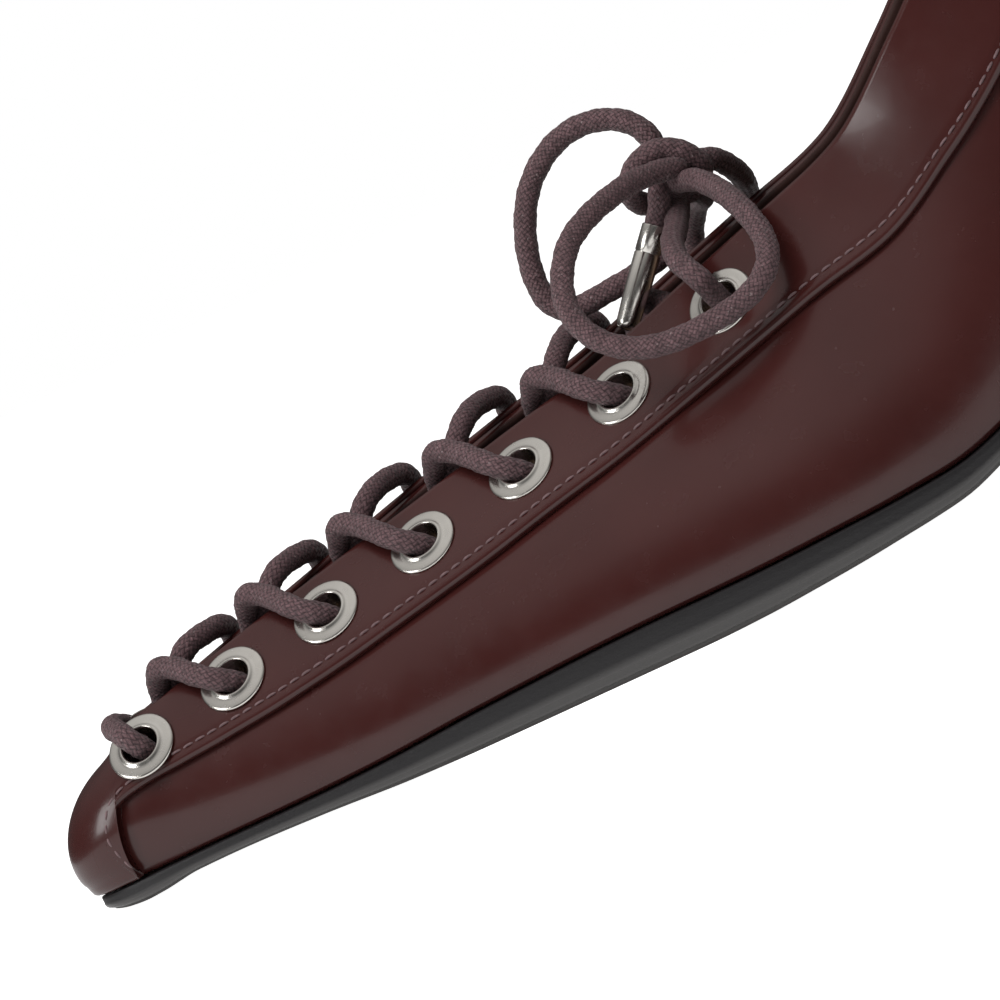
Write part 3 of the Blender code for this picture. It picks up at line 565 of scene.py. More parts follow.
def ramp(node, link, value, stops):
    """A colour ramp read at a value: stops are (place, colour)."""
    made = node("ShaderNodeValToRGB")
    band = made.color_ramp
    while len(band.elements) < len(stops):
        band.elements.new(0.5)
    for element, (place, colour) in zip(band.elements, stops):
        element.position = place
        element.color = (*colour, 1.0)
    link(value, made.inputs["Fac"])
    return made.outputs["Color"]


def noise(node, link, vector, scale, detail, roughness):
    """Fractal noise on a vector."""
    made = node("ShaderNodeTexNoise")
    made.inputs["Scale"].default_value = scale
    made.inputs["Detail"].default_value = detail
    made.inputs["Roughness"].default_value = roughness
    link(vector, made.inputs["Vector"])
    return made.outputs["Fac"]


def bump(node, link, height, strength, distance):
    """A bump from a height, which stands distance metres proud at its highest."""
    made = node("ShaderNodeBump")
    made.inputs["Strength"].default_value = strength
    made.inputs["Distance"].default_value = distance
    link(height, made.inputs["Height"])
    return made


def polished_leather(name, colour, deep, settings):
    """Polished calf: a deep even colour with faint clouding, a hard gloss and barely any grain."""
    made, shader, node, link = new_material(name)
    where = object_coordinates(node, link)
    cloud = noise(node, link, where, 38.0, 4.0, 0.55)
    tone = ramp(node, link, cloud, [(0.34, deep), (0.66, colour)])
    link(tone, shader.inputs["Base Color"])
    streak = noise(node, link, where, 260.0, 3.0, 0.6)
    gloss = ramp(
        node, link, streak,
        [(0.3, (settings.gloss_low,) * 3), (0.75, (settings.gloss_high,) * 3)],
    )
    link(gloss, shader.inputs["Roughness"])
    grain = noise(node, link, where, 1500.0, 2.0, 0.5)
    wave = noise(node, link, where, 90.0, 2.0, 0.5)
    low = bump(node, link, wave, 0.12, 0.0006)
    fine = bump(node, link, grain, 0.05, 0.00006)
    link(low.outputs["Normal"], fine.inputs["Normal"])
    link(fine.outputs["Normal"], shader.inputs["Normal"])
    shader.inputs["Coat Weight"].default_value = settings.coat
    shader.inputs["Coat Roughness"].default_value = 0.06
    shader.inputs["IOR"].default_value = 1.5
    return made


def raw_leather(name, colour, deep, rough):
    """Matt leather, for the lining and the sock, with a soft fibre bump."""
    made, shader, node, link = new_material(name)
    where = object_coordinates(node, link)
    cloud = noise(node, link, where, 300.0, 5.0, 0.6)
    tone = ramp(node, link, cloud, [(0.3, deep), (0.7, colour)])
    link(tone, shader.inputs["Base Color"])
    fibre = noise(node, link, where, 1800.0, 3.0, 0.6)
    relief = bump(node, link, fibre, 0.2, 0.0001)
    link(relief.outputs["Normal"], shader.inputs["Normal"])
    shader.inputs["Roughness"].default_value = rough
    return made


def sole_edge(name):
    """The trimmed sole side: stained and waxed, rough above and polished on the rounded lower band."""
    made, shader, node, link = new_material(name)
    band = node("ShaderNodeAttribute", attribute_name="band")
    tone = ramp(
        node, link, band.outputs["Fac"],
        [
            (0.0, (0.10, 0.048, 0.036)),
            (0.06, (0.035, 0.014, 0.011)),
            # painted reflection: the lighter grey of the rounded lower band stands for the pale floor
            # mirrored in the black edge
            (0.13, (0.070, 0.067, 0.065)),
            (0.42, (0.062, 0.059, 0.058)),
            (0.62, (0.012, 0.011, 0.012)),
            (1.0, (0.009, 0.008, 0.009)),
        ],
    )
    link(tone, shader.inputs["Base Color"])
    gloss = ramp(
        node, link, band.outputs["Fac"],
        [(0.0, (0.7,) * 3), (0.18, (0.5,) * 3), (0.24, (0.22,) * 3), (0.5, (0.3,) * 3), (0.62, (0.5,) * 3)],
    )
    link(gloss, shader.inputs["Roughness"])
    where = object_coordinates(node, link, (1.0, 1.0, 3.0))
    fibre = noise(node, link, where, 900.0, 4.0, 0.65)
    relief = bump(node, link, fibre, 0.35, 0.0002)
    link(relief.outputs["Normal"], shader.inputs["Normal"])
    return made


def tread_leather(name):
    """The underside of the sole: dark leather, buffed."""
    made, shader, node, link = new_material(name)
    where = object_coordinates(node, link)
    cloud = noise(node, link, where, 120.0, 5.0, 0.6)
    tones = [(0.3, (0.012, 0.010, 0.010)), (0.7, (0.03, 0.024, 0.022))]
    tone = ramp(node, link, cloud, tones)
    link(tone, shader.inputs["Base Color"])
    shader.inputs["Roughness"].default_value = 0.45
    relief = bump(node, link, noise(node, link, where, 1400.0, 3.0, 0.6), 0.15, 0.0001)
    link(relief.outputs["Normal"], shader.inputs["Normal"])
    return made


def nickel(name):
    """Polished nickel with faint tumbling marks."""
    made, shader, node, link = new_material(name)
    where = object_coordinates(node, link)
    mark = noise(node, link, where, 700.0, 4.0, 0.6)
    gloss = ramp(node, link, mark, [(0.3, (0.14,) * 3), (0.7, (0.3,) * 3)])
    link(gloss, shader.inputs["Roughness"])
    shader.inputs["Base Color"].default_value = (0.80, 0.77, 0.72, 1.0)
    shader.inputs["Metallic"].default_value = 1.0
    relief = bump(node, link, mark, 0.08, 0.00005)
    link(relief.outputs["Normal"], shader.inputs["Normal"])
    return made


YARN_PLIES = 3.0


def braided_cotton(name, colour, light, dark):
    """Waxed cotton braid, read on the cord's own map: round it once across, and by length up.

    Two families of yarns climb to the left and to the right. Each yarn is rounded across, carries thin
    plies, and goes over and under the other family in turn, so the yarn on top is the one that shows.
    """
    made, shader, node, link = new_material(name)
    uv = node("ShaderNodeUVMap", uv_map="braid")
    split = node("ShaderNodeSeparateXYZ")
    link(uv.outputs["UV"], split.inputs["Vector"])

    def calc(operation, first, second=None):
        made_node = node("ShaderNodeMath", operation=operation)
        for slot, value in zip(made_node.inputs, (first, second)):
            if value is None:
                continue
            if isinstance(value, (int, float)):
                slot.default_value = value
            else:
                link(value, slot)
        return made_node.outputs["Value"]

    round_it, up = split.outputs["X"], split.outputs["Y"]
    left = calc("MULTIPLY", calc("ADD", round_it, up), BRAID_YARNS)
    right = calc("MULTIPLY", calc("SUBTRACT", round_it, up), BRAID_YARNS)
    in_left, in_right = calc("FRACT", left), calc("FRACT", right)
    turns = calc("ADD", calc("FLOOR", left), calc("FLOOR", right))
    on_top = calc("FLOORED_MODULO", turns, 2.0)
    hump_left = calc("SINE", calc("MULTIPLY", in_left, math.pi))
    hump_right = calc("SINE", calc("MULTIPLY", in_right, math.pi))

    def plies(across, along):
        steps = calc("ADD", calc("MULTIPLY", across, YARN_PLIES), along)
        return calc("SINE", calc("MULTIPLY", steps, 2 * math.pi))

    ply_left, ply_right = plies(in_left, in_right), plies(in_right, in_left)

    def chosen(when_off, when_on):
        mix = node("ShaderNodeMix", data_type="FLOAT")
        link(on_top, mix.inputs[0])
        link(when_off, mix.inputs[2])
        link(when_on, mix.inputs[3])
        return mix.outputs[0]

    hump, ply = chosen(hump_left, hump_right), chosen(ply_left, ply_right)
    where = object_coordinates(node, link)
    heather = noise(node, link, where, 1500.0, 4.0, 0.75)
    tone = ramp(node, link, heather, [(0.32, dark), (0.5, colour), (0.68, light)])
    height = calc("ADD", calc("MULTIPLY", hump, 0.8), calc("MULTIPLY", ply, 0.16))
    # painted shade and highlight: the yarn relief's height darkens the colour in the grooves and lightens it
    # on the crowns
    groove_shade_stops = [(0.12, (0.30, 0.26, 0.28)), (0.55, (0.9, 0.88, 0.9)), (0.9, (1.25, 1.2, 1.2))]
    deep = ramp(node, link, height, groove_shade_stops)
    shade = node("ShaderNodeMix", data_type="RGBA", blend_type="MULTIPLY")
    shade.inputs["Factor"].default_value = 1.0
    link(tone, shade.inputs[6])
    link(deep, shade.inputs[7])
    # painted highlight: pale noise spots mixed into the colour stand for glints on the yarn
    glint_noise = noise(node, link, where, 2300.0, 2.0, 0.5)
    painted_glint_mask = ramp(node, link, glint_noise, [(0.66, (0.0,) * 3), (0.74, (0.8,) * 3)])
    glint = node("ShaderNodeMix", data_type="RGBA")
    link(painted_glint_mask, glint.inputs["Factor"])
    link(shade.outputs[2], glint.inputs[6])
    glint.inputs[7].default_value = (0.32, 0.25, 0.25, 1.0)
    link(glint.outputs[2], shader.inputs["Base Color"])
    shader.inputs["Roughness"].default_value = 0.62
    shader.inputs["Sheen Weight"].default_value = 0.12
    shader.inputs["Sheen Roughness"].default_value = 0.45
    fuzz = calc("MULTIPLY", heather, 0.5)
    relief = bump(node, link, calc("ADD", height, fuzz), 0.9, 0.00016)
    link(relief.outputs["Normal"], shader.inputs["Normal"])
    return made


def plain_rubber(name):
    """The heel tip's dense rubber."""
    made, shader, node, link = new_material(name)
    where = object_coordinates(node, link)
    grain = noise(node, link, where, 1600.0, 3.0, 0.6)
    tone = ramp(node, link, grain, [(0.3, (0.008,) * 3), (0.7, (0.02,) * 3)])
    link(tone, shader.inputs["Base Color"])
    shader.inputs["Roughness"].default_value = 0.65
    relief = bump(node, link, grain, 0.2, 0.0001)
    link(relief.outputs["Normal"], shader.inputs["Normal"])
    return made


def thread_material(name, colour):
    """Stitching thread, a little shiny."""
    made, shader, node, link = new_material(name)
    where = object_coordinates(node, link)
    ply = noise(node, link, where, 2500.0, 2.0, 0.5)
    deep = tuple(c * 0.6 for c in colour)
    tone = ramp(node, link, ply, [(0.3, deep), (0.7, colour)])
    link(tone, shader.inputs["Base Color"])
    shader.inputs["Roughness"].default_value = 0.6
    shader.inputs["Sheen Weight"].default_value = 0.2
    return made


FINISHES = {}


def finish_for(kind):
    """The material of one finish, made once."""
    if kind not in FINISHES:
        look = bpy.context.scene.heel_look
        colour, deep, cord = (tuple(tone)[:3] for tone in (look.leather, look.leather_deep, look.lace))
        light, dark = tuple(min(1.0, c * 1.55) for c in cord), tuple(c * 0.5 for c in cord)
        makers = {
            "leather": (polished_leather, "polished_leather", colour, deep, look),
            "facing": (polished_leather, "facing_leather", colour, deep, look),
            "lining": (raw_leather, "lining_leather", (0.045, 0.020, 0.017), (0.03, 0.013, 0.011), 0.55),
            "sock": (raw_leather, "sock_leather", (0.20, 0.13, 0.09), (0.15, 0.095, 0.065), 0.6),
            "sole": (sole_edge, "waxed_sole_edge"),
            "tread": (tread_leather, "tread_leather"),
            "nickel": (nickel, "polished_nickel"),
            "cotton": (braided_cotton, "waxed_braid", cord, light, dark),
            "rubber": (plain_rubber, "tip_rubber"),
            "thread": (thread_material, "thread", (0.19, 0.115, 0.12)),
        }
        make, *settings = makers[kind]
        FINISHES[kind] = make(*settings)
    return FINISHES[kind]


# The upper and its overlay

# Soft troughs (-) and ridges (+) of the vamp: distance from the tip, share up the wall from the feather
# line, half length and half height of each in millimetres and share, depth in millimetres, and its side
CREASES = [
    (105.0, 0.50, 7.0, 0.16, -0.55, -1),
    (98.0, 0.62, 10.0, 0.14, 0.25, -1),
    (122.0, 0.42, 12.0, 0.22, -0.35, -1),
    (136.0, 0.60, 9.0, 0.20, 0.30, -1),
    (118.0, 0.70, 8.0, 0.12, 0.20, -1),
    (106.0, 0.48, 8.0, 0.16, -0.5, 1),
    (124.0, 0.45, 11.0, 0.22, -0.3, 1),
]


def crease_lift(u, v):
    """How far the leather stands off the last's plain form: a sum of soft bumps."""
    x, side = place_along(u), sides(u)
    total = np.zeros(np.broadcast(u, v).shape)
    for cx, share, half_x, half_share, lift, on in CREASES:
        bump = np.exp(-(((x - cx) / half_x) ** 2) - ((v - share) / half_share) ** 2)
        total = total + lift * bump * (side == on)
    return total


# Eyelets: distance from the tip, and how far the centre lies below the edge, in millimetres
EYELETS = [
    (14.8, 6.2),
    (29.8, 6.8),
    (44.9, 7.5),
    (60.6, 8.0),
    (76.6, 8.1),
    (92.7, 8.0),
    (110.1, 7.9),
]
EYELET_HOLE_RADIUS = 2.6
EYELET_BARREL_RADIUS = 2.95
EYELET_RIM_RADIUS = 4.8
EYELET_SINK = 3.15
FACING_LIFT = 0.4
FACING_THICKNESS = 1.1
EYELET_LIFT = FACING_LIFT + FACING_THICKNESS + GAP + 0.12
FLANGE = 0.45
FACING_BACK_HEIGHT = 124.5
RIM_ROUND = 0.35
UPPER_HOLE_ROOM = 0.25
FACING_HOLE_ROOM = 0.2


def halving(measure, low, high):
    """Where a rising measure passes zero between two values."""
    for _ in range(30):
        middle = (low + high) / 2
        if measure(middle) < 0:
            low = middle
        else:
            high = middle
    return (low + high) / 2


def eyelet_seat(index, side):
    """Centre on the upper's surface, outward normal, and the direction along the row."""
    x, drop = EYELETS[index]
    s = halving(
        lambda share: wall_point(
            share if side < 0 else 2 - share, share_below_edge(share if side < 0 else 2 - share, drop)
        )[0]
        - x,
        float(around(max(x - 14, 0.2), -1)),
        float(around(x + 8, -1)),
    )
    u = s if side < 0 else 2 - s
    v = share_below_edge(u, drop)
    u, v = np.array(u), np.array(v)
    centre, normal = wall_point(u, v), wall_normal(u, v)
    along = np.array([1.0, 0.0, 0.0])
    along = along - normal * float(along @ normal)
    along /= np.linalg.norm(along)
    return centre, normal, along


SEATS = {}


def seats():
    """All the eyelet seats, worked out once."""
    if not SEATS:
        for index in range(len(EYELETS)):
            for side in (-1, 1):
                SEATS[(index, side)] = eyelet_seat(index, side)
    return SEATS


def clear_of_eyelets(points, radius):
    """True for points of a surface that lie outside every eyelet's barrel."""
    clear = np.ones(points.shape[:-1], bool)
    for centre, normal, _ in seats().values():
        away = points - centre
        along = away @ normal
        across = np.linalg.norm(away - along[..., None] * normal, axis=-1)
        clear &= (across > radius) | (np.abs(along) > 6.0)
    return clear


def cell_middles(grid):
    """The middle of each cell of a grid that wraps in its columns."""
    ahead = np.roll(grid, -1, axis=1)
    return (grid[:-1] + grid[1:] + ahead[:-1] + ahead[1:]) / 4


def beside_holes(u, v, lift, room):
    """Marks the cells of a skin on the wall that stay, so that the eyelet holes are open."""
    middles = cell_middles(skin(u, v, np.full(u.shape, lift)))
    return clear_of_eyelets(middles, EYELET_BARREL_RADIUS + room)


def place_grid(columns):
    """Places round the shoe at even steps of u, which lie closer together at toe and heel."""
    return 2 * np.arange(columns) / columns


def build_upper():
    """The vamp and quarters: the wall function on a fine grid, its creases, the lining and the rims."""
    columns, rows = 640, 66
    u = place_grid(columns)[None, :]
    v = np.linspace(0, 1, rows)[:, None] ** 0.97
    u, v = np.broadcast_arrays(u, v)
    lift = crease_lift(u, v)
    rim = np.clip((1 - v) / 0.03, 0, 1)
    outer = skin(u, v, lift * np.clip((1 - v) / 0.1, 0, 1) - RIM_ROUND * (1 - np.sqrt(1 - (1 - rim) ** 2)))
    inner = skin(u, v, np.full(u.shape, -WALL) + RIM_ROUND * (1 - np.sqrt(1 - (1 - rim) ** 2)))
    inner[0, :, 2] = outer[0, :, 2]
    keep = beside_holes(u, v, 0.0, UPPER_HOLE_ROOM)
    points, out_faces, in_faces, walls = shell(outer, inner, keep)
    groups = np.concatenate([np.zeros(len(out_faces)), np.ones(len(in_faces)), np.zeros(len(walls))])
    made = add_mesh(
        "upper_leather", points, [out_faces, in_faces, walls],
        [finish_for("leather"), finish_for("lining")], groups,
    )
    dress(made, "upper", slot="leather")


def facing_rows():
    """The facing's cross lines on the outer side: place and share of its cut edge, place on the edge."""
    found = []
    for x, height in FACING:
        u = halving(
            lambda place: wall_point(place, share_at_height(place, height))[0] - x,
            float(around(0.2, -1)),
            float(around(257.0, -1)),
        )
        found.append((u, share_at_height(u, height)))
    edge_u, edge_v = np.array(found).T
    first_u = edge_u[0]
    tip = [(first_u * share, 0.0, first_u * share) for share in (0.0, 0.3, 0.6, 0.85)]
    run = np.concatenate([[0], np.cumsum(np.hypot(np.diff(edge_u) * 200, np.diff(edge_v) * 30))])
    even = np.linspace(0, 1, 28)
    at = run[-1] * (0.6 * even + 0.4 * (1 - np.cos(math.pi * even)) / 2)
    place_u, place_v = smooth(at, run, edge_u), smooth(at, run, edge_v)
    place_v[0] = 0.0
    settle = np.clip(even / 0.35, 0, 1)
    top_u = first_u + (place_u - first_u) * (0.35 + 0.65 * settle) + 0.035 * np.sin(settle * math.pi)
    top_u = np.maximum.accumulate(np.maximum(top_u, first_u))
    body = list(zip(place_u, place_v, top_u))
    back_v = share_at_height(1.0, FACING_BACK_HEIGHT)
    last_u, last_v, last_top = body[-1]
    end = []
    for share in np.arange(1, 6) / 6:
        ease = share * share * (3 - 2 * share)
        end.append(
            (
                last_u + (1 - last_u) * share,
                last_v + (back_v - last_v) * ease,
                last_top + (1 - last_top) * share,
            )
        )
    return np.array(tip + body + end + [(1.0, back_v, 1.0)])


FACING_SIDE = []


def facing_side(count):
    """The cross lines read finely along the outer side, evenly by length of the cut edge."""
    if not FACING_SIDE:
        FACING_SIDE.append(facing_rows())
    rows = FACING_SIDE[0]
    low = wall_point(rows[:, 0], rows[:, 1])
    top = wall_point(rows[:, 2], np.ones(len(rows)))
    steps = (np.linalg.norm(np.diff(low, axis=0), axis=1) + np.linalg.norm(np.diff(top, axis=0), axis=1)) / 2
    run = np.concatenate([[0], np.cumsum(np.maximum(steps, 1e-4))])
    at = np.linspace(0, run[-1], count)
    return np.stack([smooth(at, run, rows[:, k]) for k in range(3)], axis=1)


def build_facing():
    """The overlay: its own cut edge and top edge rolled over, with the eyelet holes left out."""
    count, rows = 620, 34
    side = facing_side(count)
    mirrored = side[-2:0:-1] * [-1, 1, -1] + [2, 0, 2]
    line = np.concatenate([side, mirrored])
    b = np.linspace(0, 1, rows)[:, None]
    u = line[None, :, 0] + (line[None, :, 2] - line[None, :, 0]) * b
    v = line[None, :, 1] + (1 - line[None, :, 1]) * b
    width = np.linalg.norm(
        wall_point(line[:, 2], np.ones(len(line))) - wall_point(line[:, 0], line[:, 1]), axis=1
    )[None, :]
    from_cut, from_top = b * width, (1 - b) * width
    round_cut = 1 - np.sqrt(1 - np.clip(1 - from_cut / 0.5, 0, 1) ** 2)
    round_top = 1 - np.sqrt(1 - np.clip(1 - from_top / 0.6, 0, 1) ** 2)
    thick = FACING_LIFT + FACING_THICKNESS
    seam = np.exp(-(((from_cut - STITCH_INSET) / 0.45) ** 2)) * 0.16
    outer = skin(u, v, thick - 0.45 * round_cut - 0.5 * round_top - seam)
    inner = skin(u, v, np.full(u.shape, 0.06))
    for grid in (outer, inner):
        floor = feather_height(np.clip(grid[..., 0], 0, LAST_LENGTH)) + GAP
        grid[..., 2] = np.maximum(grid[..., 2], floor)
    keep = beside_holes(u, v, thick, FACING_HOLE_ROOM)
    points, out_faces, in_faces, walls = shell(outer, inner, keep)
    made = add_mesh("facing_leather", points, [out_faces, in_faces, walls], [finish_for("facing")])
    dress(made, "facing", slot="facing")


STITCH_INSET = 2.0
STITCH_PITCH = 1.9
STITCH_SHARE = 0.78
STITCH_RADIUS = 0.18
STITCH_ARCH = 0.16
STITCH_SINK = 0.04
STITCH_SEAT = 0.12


def build_stitches():
    """One row of thread along the facing's cut edge: each stitch is a bent capsule sunk at its ends."""
    side = facing_side(2400)
    low = wall_point(side[:, 0], side[:, 1])
    width = np.linalg.norm(wall_point(side[:, 2], np.ones(len(side))) - low, axis=1)
    share = STITCH_INSET / width
    u = side[:, 0] + (side[:, 2] - side[:, 0]) * share
    v = side[:, 1] + (1 - side[:, 1]) * share
    keep = side[:, 1] > 0.0
    u, v = u[keep], v[keep]
    parts_p, parts_f = [], []
    ring, length = 6, 7
    for mirror in (False, True):
        uu = 2 - u if mirror else u
        base = skin(uu, v, np.full(u.shape, FACING_LIFT + FACING_THICKNESS - STITCH_SEAT))
        normal = wall_normal(uu, v)
        run = run_along(base)
        count = int(run[-1] / STITCH_PITCH)
        centre = (np.arange(count) + 0.5) * run[-1] / count
        t = np.linspace(-0.5, 0.5, length)
        at = centre[:, None] + t[None, :] * (STITCH_PITCH * STITCH_SHARE)
        middle = np.stack([np.interp(at, run, base[:, k]) for k in range(3)], axis=-1)
        out = np.stack([np.interp(at, run, normal[:, k]) for k in range(3)], axis=-1)
        out /= np.linalg.norm(out, axis=-1, keepdims=True)
        ahead = np.gradient(middle, axis=1)
        ahead /= np.linalg.norm(ahead, axis=-1, keepdims=True)
        across = np.cross(ahead, out)
        radius = STITCH_RADIUS * np.sqrt(np.clip(1 - (2 * t) ** 4 * 0.75, 0.05, 1))
        arch = STITCH_ARCH * (1 - (2 * t) ** 2) - STITCH_SINK
        middle = middle + out * arch[None, :, None]
        phi = full_turn(ring)
        rings = (
            middle[:, :, None, :]
            + radius[None, :, None, None]
            * (np.cos(phi)[None, None, :, None] * across[:, :, None, :]
               + np.sin(phi)[None, None, :, None] * out[:, :, None, :])
        )
        one = quads(length, ring, wrap_columns=True)
        caps = np.array([list(range(ring - 1, -1, -1)), list(range((length - 1) * ring, length * ring))])
        offset = sum(len(p) for p in parts_p) + np.arange(count)[:, None, None] * length * ring
        parts_p.append(rings.reshape(-1, 3))
        parts_f.append(((one[None] + offset).reshape(-1, 4), (caps[None] + offset).reshape(-1, ring)))
    points = np.concatenate(parts_p)
    faces = [f for pair in parts_f for f in pair]
    made = add_mesh("facing_stitches", points, faces, [finish_for("thread")])
    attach(made, "root")


# Eyelets

def build_eyelets():
    """Turned washers: a flat flange with a rolled inner lip, a barrel, and a smaller flange inside."""
    base = EYELET_LIFT - 0.3
    profile = np.array(
        [
            (EYELET_RIM_RADIUS + 0.05, base - 0.06),
            (EYELET_RIM_RADIUS + 0.1, base + 0.10),
            (EYELET_RIM_RADIUS - 0.02, base + 0.26),
            (EYELET_RIM_RADIUS - 0.25, base + 0.33),
            (4.2, base + 0.38),
            (3.7, base + 0.42),
            (3.35, base + 0.46),
            (3.18, base + 0.56),
            (3.02, base + 0.68),
            (2.86, base + 0.74),
            (2.70, base + 0.70),
            (2.62, base + 0.58),
            (EYELET_HOLE_RADIUS, base + 0.35),
            (EYELET_HOLE_RADIUS, 0.0),
            (EYELET_HOLE_RADIUS, -EYELET_SINK - FLANGE),
            (3.2, -EYELET_SINK - FLANGE),
            (3.85, -EYELET_SINK - 0.2),
            (3.85, -EYELET_SINK),
            (EYELET_BARREL_RADIUS, -EYELET_SINK),
            (EYELET_BARREL_RADIUS, base - 0.06),
        ]
    )
    spin_count = 56
    phi = full_turn(spin_count)
    for (index, side), (centre, normal, along) in seats().items():
        across = np.cross(normal, along)
        spoke = np.cos(phi)[:, None] * along + np.sin(phi)[:, None] * across
        points = centre + profile[:, 0, None, None] * spoke + profile[:, 1, None, None] * normal
        faces = quads(len(profile), spin_count, wrap_columns=True, wrap_rows=True)
        name = f"eyelet_{'l' if side < 0 else 'm'}{index + 1}"
        made = add_mesh(name + "_nickel", points.reshape(-1, 3), [faces], [finish_for("nickel")])
        mesh_out(made)
        dress(made, name, slot="nickel")


def mesh_out(made):
    """Turns a closed mesh's faces outward where its signed volume is negative."""
    mesh = made.data
    mesh.calc_loop_triangles()
    co = np.empty(len(mesh.vertices) * 3)
    mesh.vertices.foreach_get("co", co)
    co = co.reshape(-1, 3)
    tri = np.empty(len(mesh.loop_triangles) * 3, np.int32)
    mesh.loop_triangles.foreach_get("vertices", tri)
    a, b, c = co[tri.reshape(-1, 3)].transpose(1, 0, 2)
    if np.einsum("ij,ij->i", a, np.cross(b, c)).sum() < 0:
        mesh.flip_normals()


# Sole, insole and heel

TREAD_RING = 14


def build_outsole():
    """The sole: rings round the outline, from its top edge down the side and under to the tread."""
    columns = 560
    u = place_grid(columns)
    x, _ = outline(u)
    under = under_height(x)
    side = feather_height(x) - under
    rings, bands = [], []
    profile = (
        (1.5, 1.0, 1.0),
        (0.45, 1.0, 1.0),
        (0.12, 0.975, 0.98),
        (0.0, 0.93, 0.93),
        (0.0, 0.75, 0.8),
        (0.02, 0.58, 0.64),
        (-0.02, 0.50, 0.55),
        (0.0, 0.40, 0.46),
        (0.10, 0.30, 0.38),
        (0.30, 0.215, 0.31),
        (0.58, 0.15, 0.25),
        (0.9, 0.115, 0.205),
        (0.95, 0.11, 0.185),
        (1.0, 0.105, 0.15),
        (1.05, 0.02, 0.1),
        (1.25, 0.0, 0.03),
        (2.2, 0.0, 0.0),
        (6.0, 0.0, 0.0),
    )
    for inset, share, band in profile:
        ring_x, ring_y = outline(u, inset) if inset else outline(u)
        rings.append(np.column_stack([ring_x, ring_y, under + side * share]))
        bands.append(np.full(columns, band))
    faces = closed_rings(rings, columns)
    covers = [np.full(len(part), low) for part, low in zip(faces[1:], (0, 1, 0, 1))]
    on_tread = [faces[0][:, 0] // columns >= TREAD_RING, *covers]
    made = add_mesh(
        "outsole_leather", np.concatenate(rings), faces,
        [finish_for("sole"), finish_for("tread")], np.concatenate(on_tread),
    )
    point_value(made, "band", np.concatenate(bands))
    mesh_out(made)
    dress(made, "outsole", slot="sole")


def build_insole():
    """The sock: lies on the sole inside the wall, with a rolled edge."""
    columns = 400
    u = place_grid(columns)
    rings = []
    for extra, height in ((0.0, 0.0), (0.0, 1.2), (0.15, 1.6), (0.45, 1.9), (0.9, 2.0), (4.0, 2.05)):
        ring_x, ring_y = outline(u, 1.3 + WALL + 2 * GAP + extra)
        base = feather_height(np.clip(ring_x, 0, LAST_LENGTH)) + GAP
        rings.append(np.column_stack([ring_x, ring_y, base + height]))
    made = add_mesh(
        "insole_sock", np.concatenate(rings), closed_rings(rings, columns), [finish_for("sock")]
    )
    mesh_out(made)
    dress(made, "insole", slot="insole")


HEEL_TIP_HEIGHT = 6.0
HEEL_COLUMNS = ("down", "front", "back", "half")
HEEL = [
    (0.00, 211.0, 255.4, 23.2),
    (0.08, 214.2, 255.2, 21.6),
    (0.20, 220.2, 254.2, 17.2),
    (0.36, 227.4, 252.6, 12.6),
    (0.55, 233.0, 251.0, 9.2),
    (0.76, 236.2, 250.2, 7.2),
    (1.00, 237.4, 250.2, 6.3),
]


def heel_ring(front, back, half, count):
    """A heel section: a half circle behind and a flatter front, as level points."""
    turn = full_turn(count)
    middle, reach = (front + back) / 2, (back - front) / 2
    cos, sin = np.cos(turn), np.sin(turn)
    x = middle + reach * np.sign(cos) * np.abs(cos) ** np.where(cos < 0, 0.55, 0.95)
    y = half * np.sign(sin) * np.abs(sin) ** np.where(cos < 0, 0.85, 0.95)
    return x, y


def build_heel():
    """The covered heel: sections of the heel table joined smoothly, cut on top to the seat's curve."""
    count = 96
    down_rows = column(HEEL_COLUMNS, HEEL, "down")
    rings = []
    for down in np.linspace(0, 1, 48):
        front, back, half = (
            float(smooth(np.array(down), down_rows, column(HEEL_COLUMNS, HEEL, name)))
            for name in ("front", "back", "half")
        )
        x, y = heel_ring(front, back, half, count)
        seat = under_height(np.clip(x, 0, LAST_LENGTH)) - 0.02
        level = HEEL_TIP_HEIGHT + 0.05
        mean = np.mean(seat)
        z = level + (1 - down) * (mean - level) + (1 - down) ** 2 * (seat - mean)
        rings.append(np.column_stack([x, y, z]))
    made = add_mesh(
        "heel_cover", np.concatenate(rings), closed_rings(rings, count), [finish_for("leather")]
    )
    mesh_out(made)
    dress(made, "heel", slot="leather")
    _, front, back, half = HEEL[-1]
    rings = []
    for inset, height in ((0.0, HEEL_TIP_HEIGHT), (0.0, 0.6), (0.15, 0.2), (0.5, 0.0)):
        x, y = heel_ring(front + inset, back - inset, half - inset, count)
        rings.append(np.column_stack([x, y, np.full(count, height)]))
    tip = add_mesh(
        "heel_tip_rubber", np.concatenate(rings), closed_rings(rings, count), [finish_for("rubber")]
    )
    tip.data.set_sharp_from_angle(angle=math.radians(50))
    mesh_out(tip)
    dress(tip, "heel_tip", slot="rubber")


# The lace

CORD_RADIUS = CORD_DIAMETER / 2
CORD_FULLNESS = 0.87
CORD_TOP = FACING_LIFT + FACING_THICKNESS + CORD_RADIUS


def edge_at(x, side):
    """Edge point and the wall's normal there, at a distance from the tip."""
    xs = column(EDGE_COLUMNS, EDGE, "x")
    places = column(EDGE_COLUMNS, EDGE, "edge_x")
    u = np.array(around(np.interp(x, places, xs), side))
    return edge_point(u), wall_normal(u, np.array(0.97))


def middle_between(x):
    """The point half way between the two edges, at a distance from the tip."""
    return (edge_at(x, -1)[0] + edge_at(x, 1)[0]) / 2


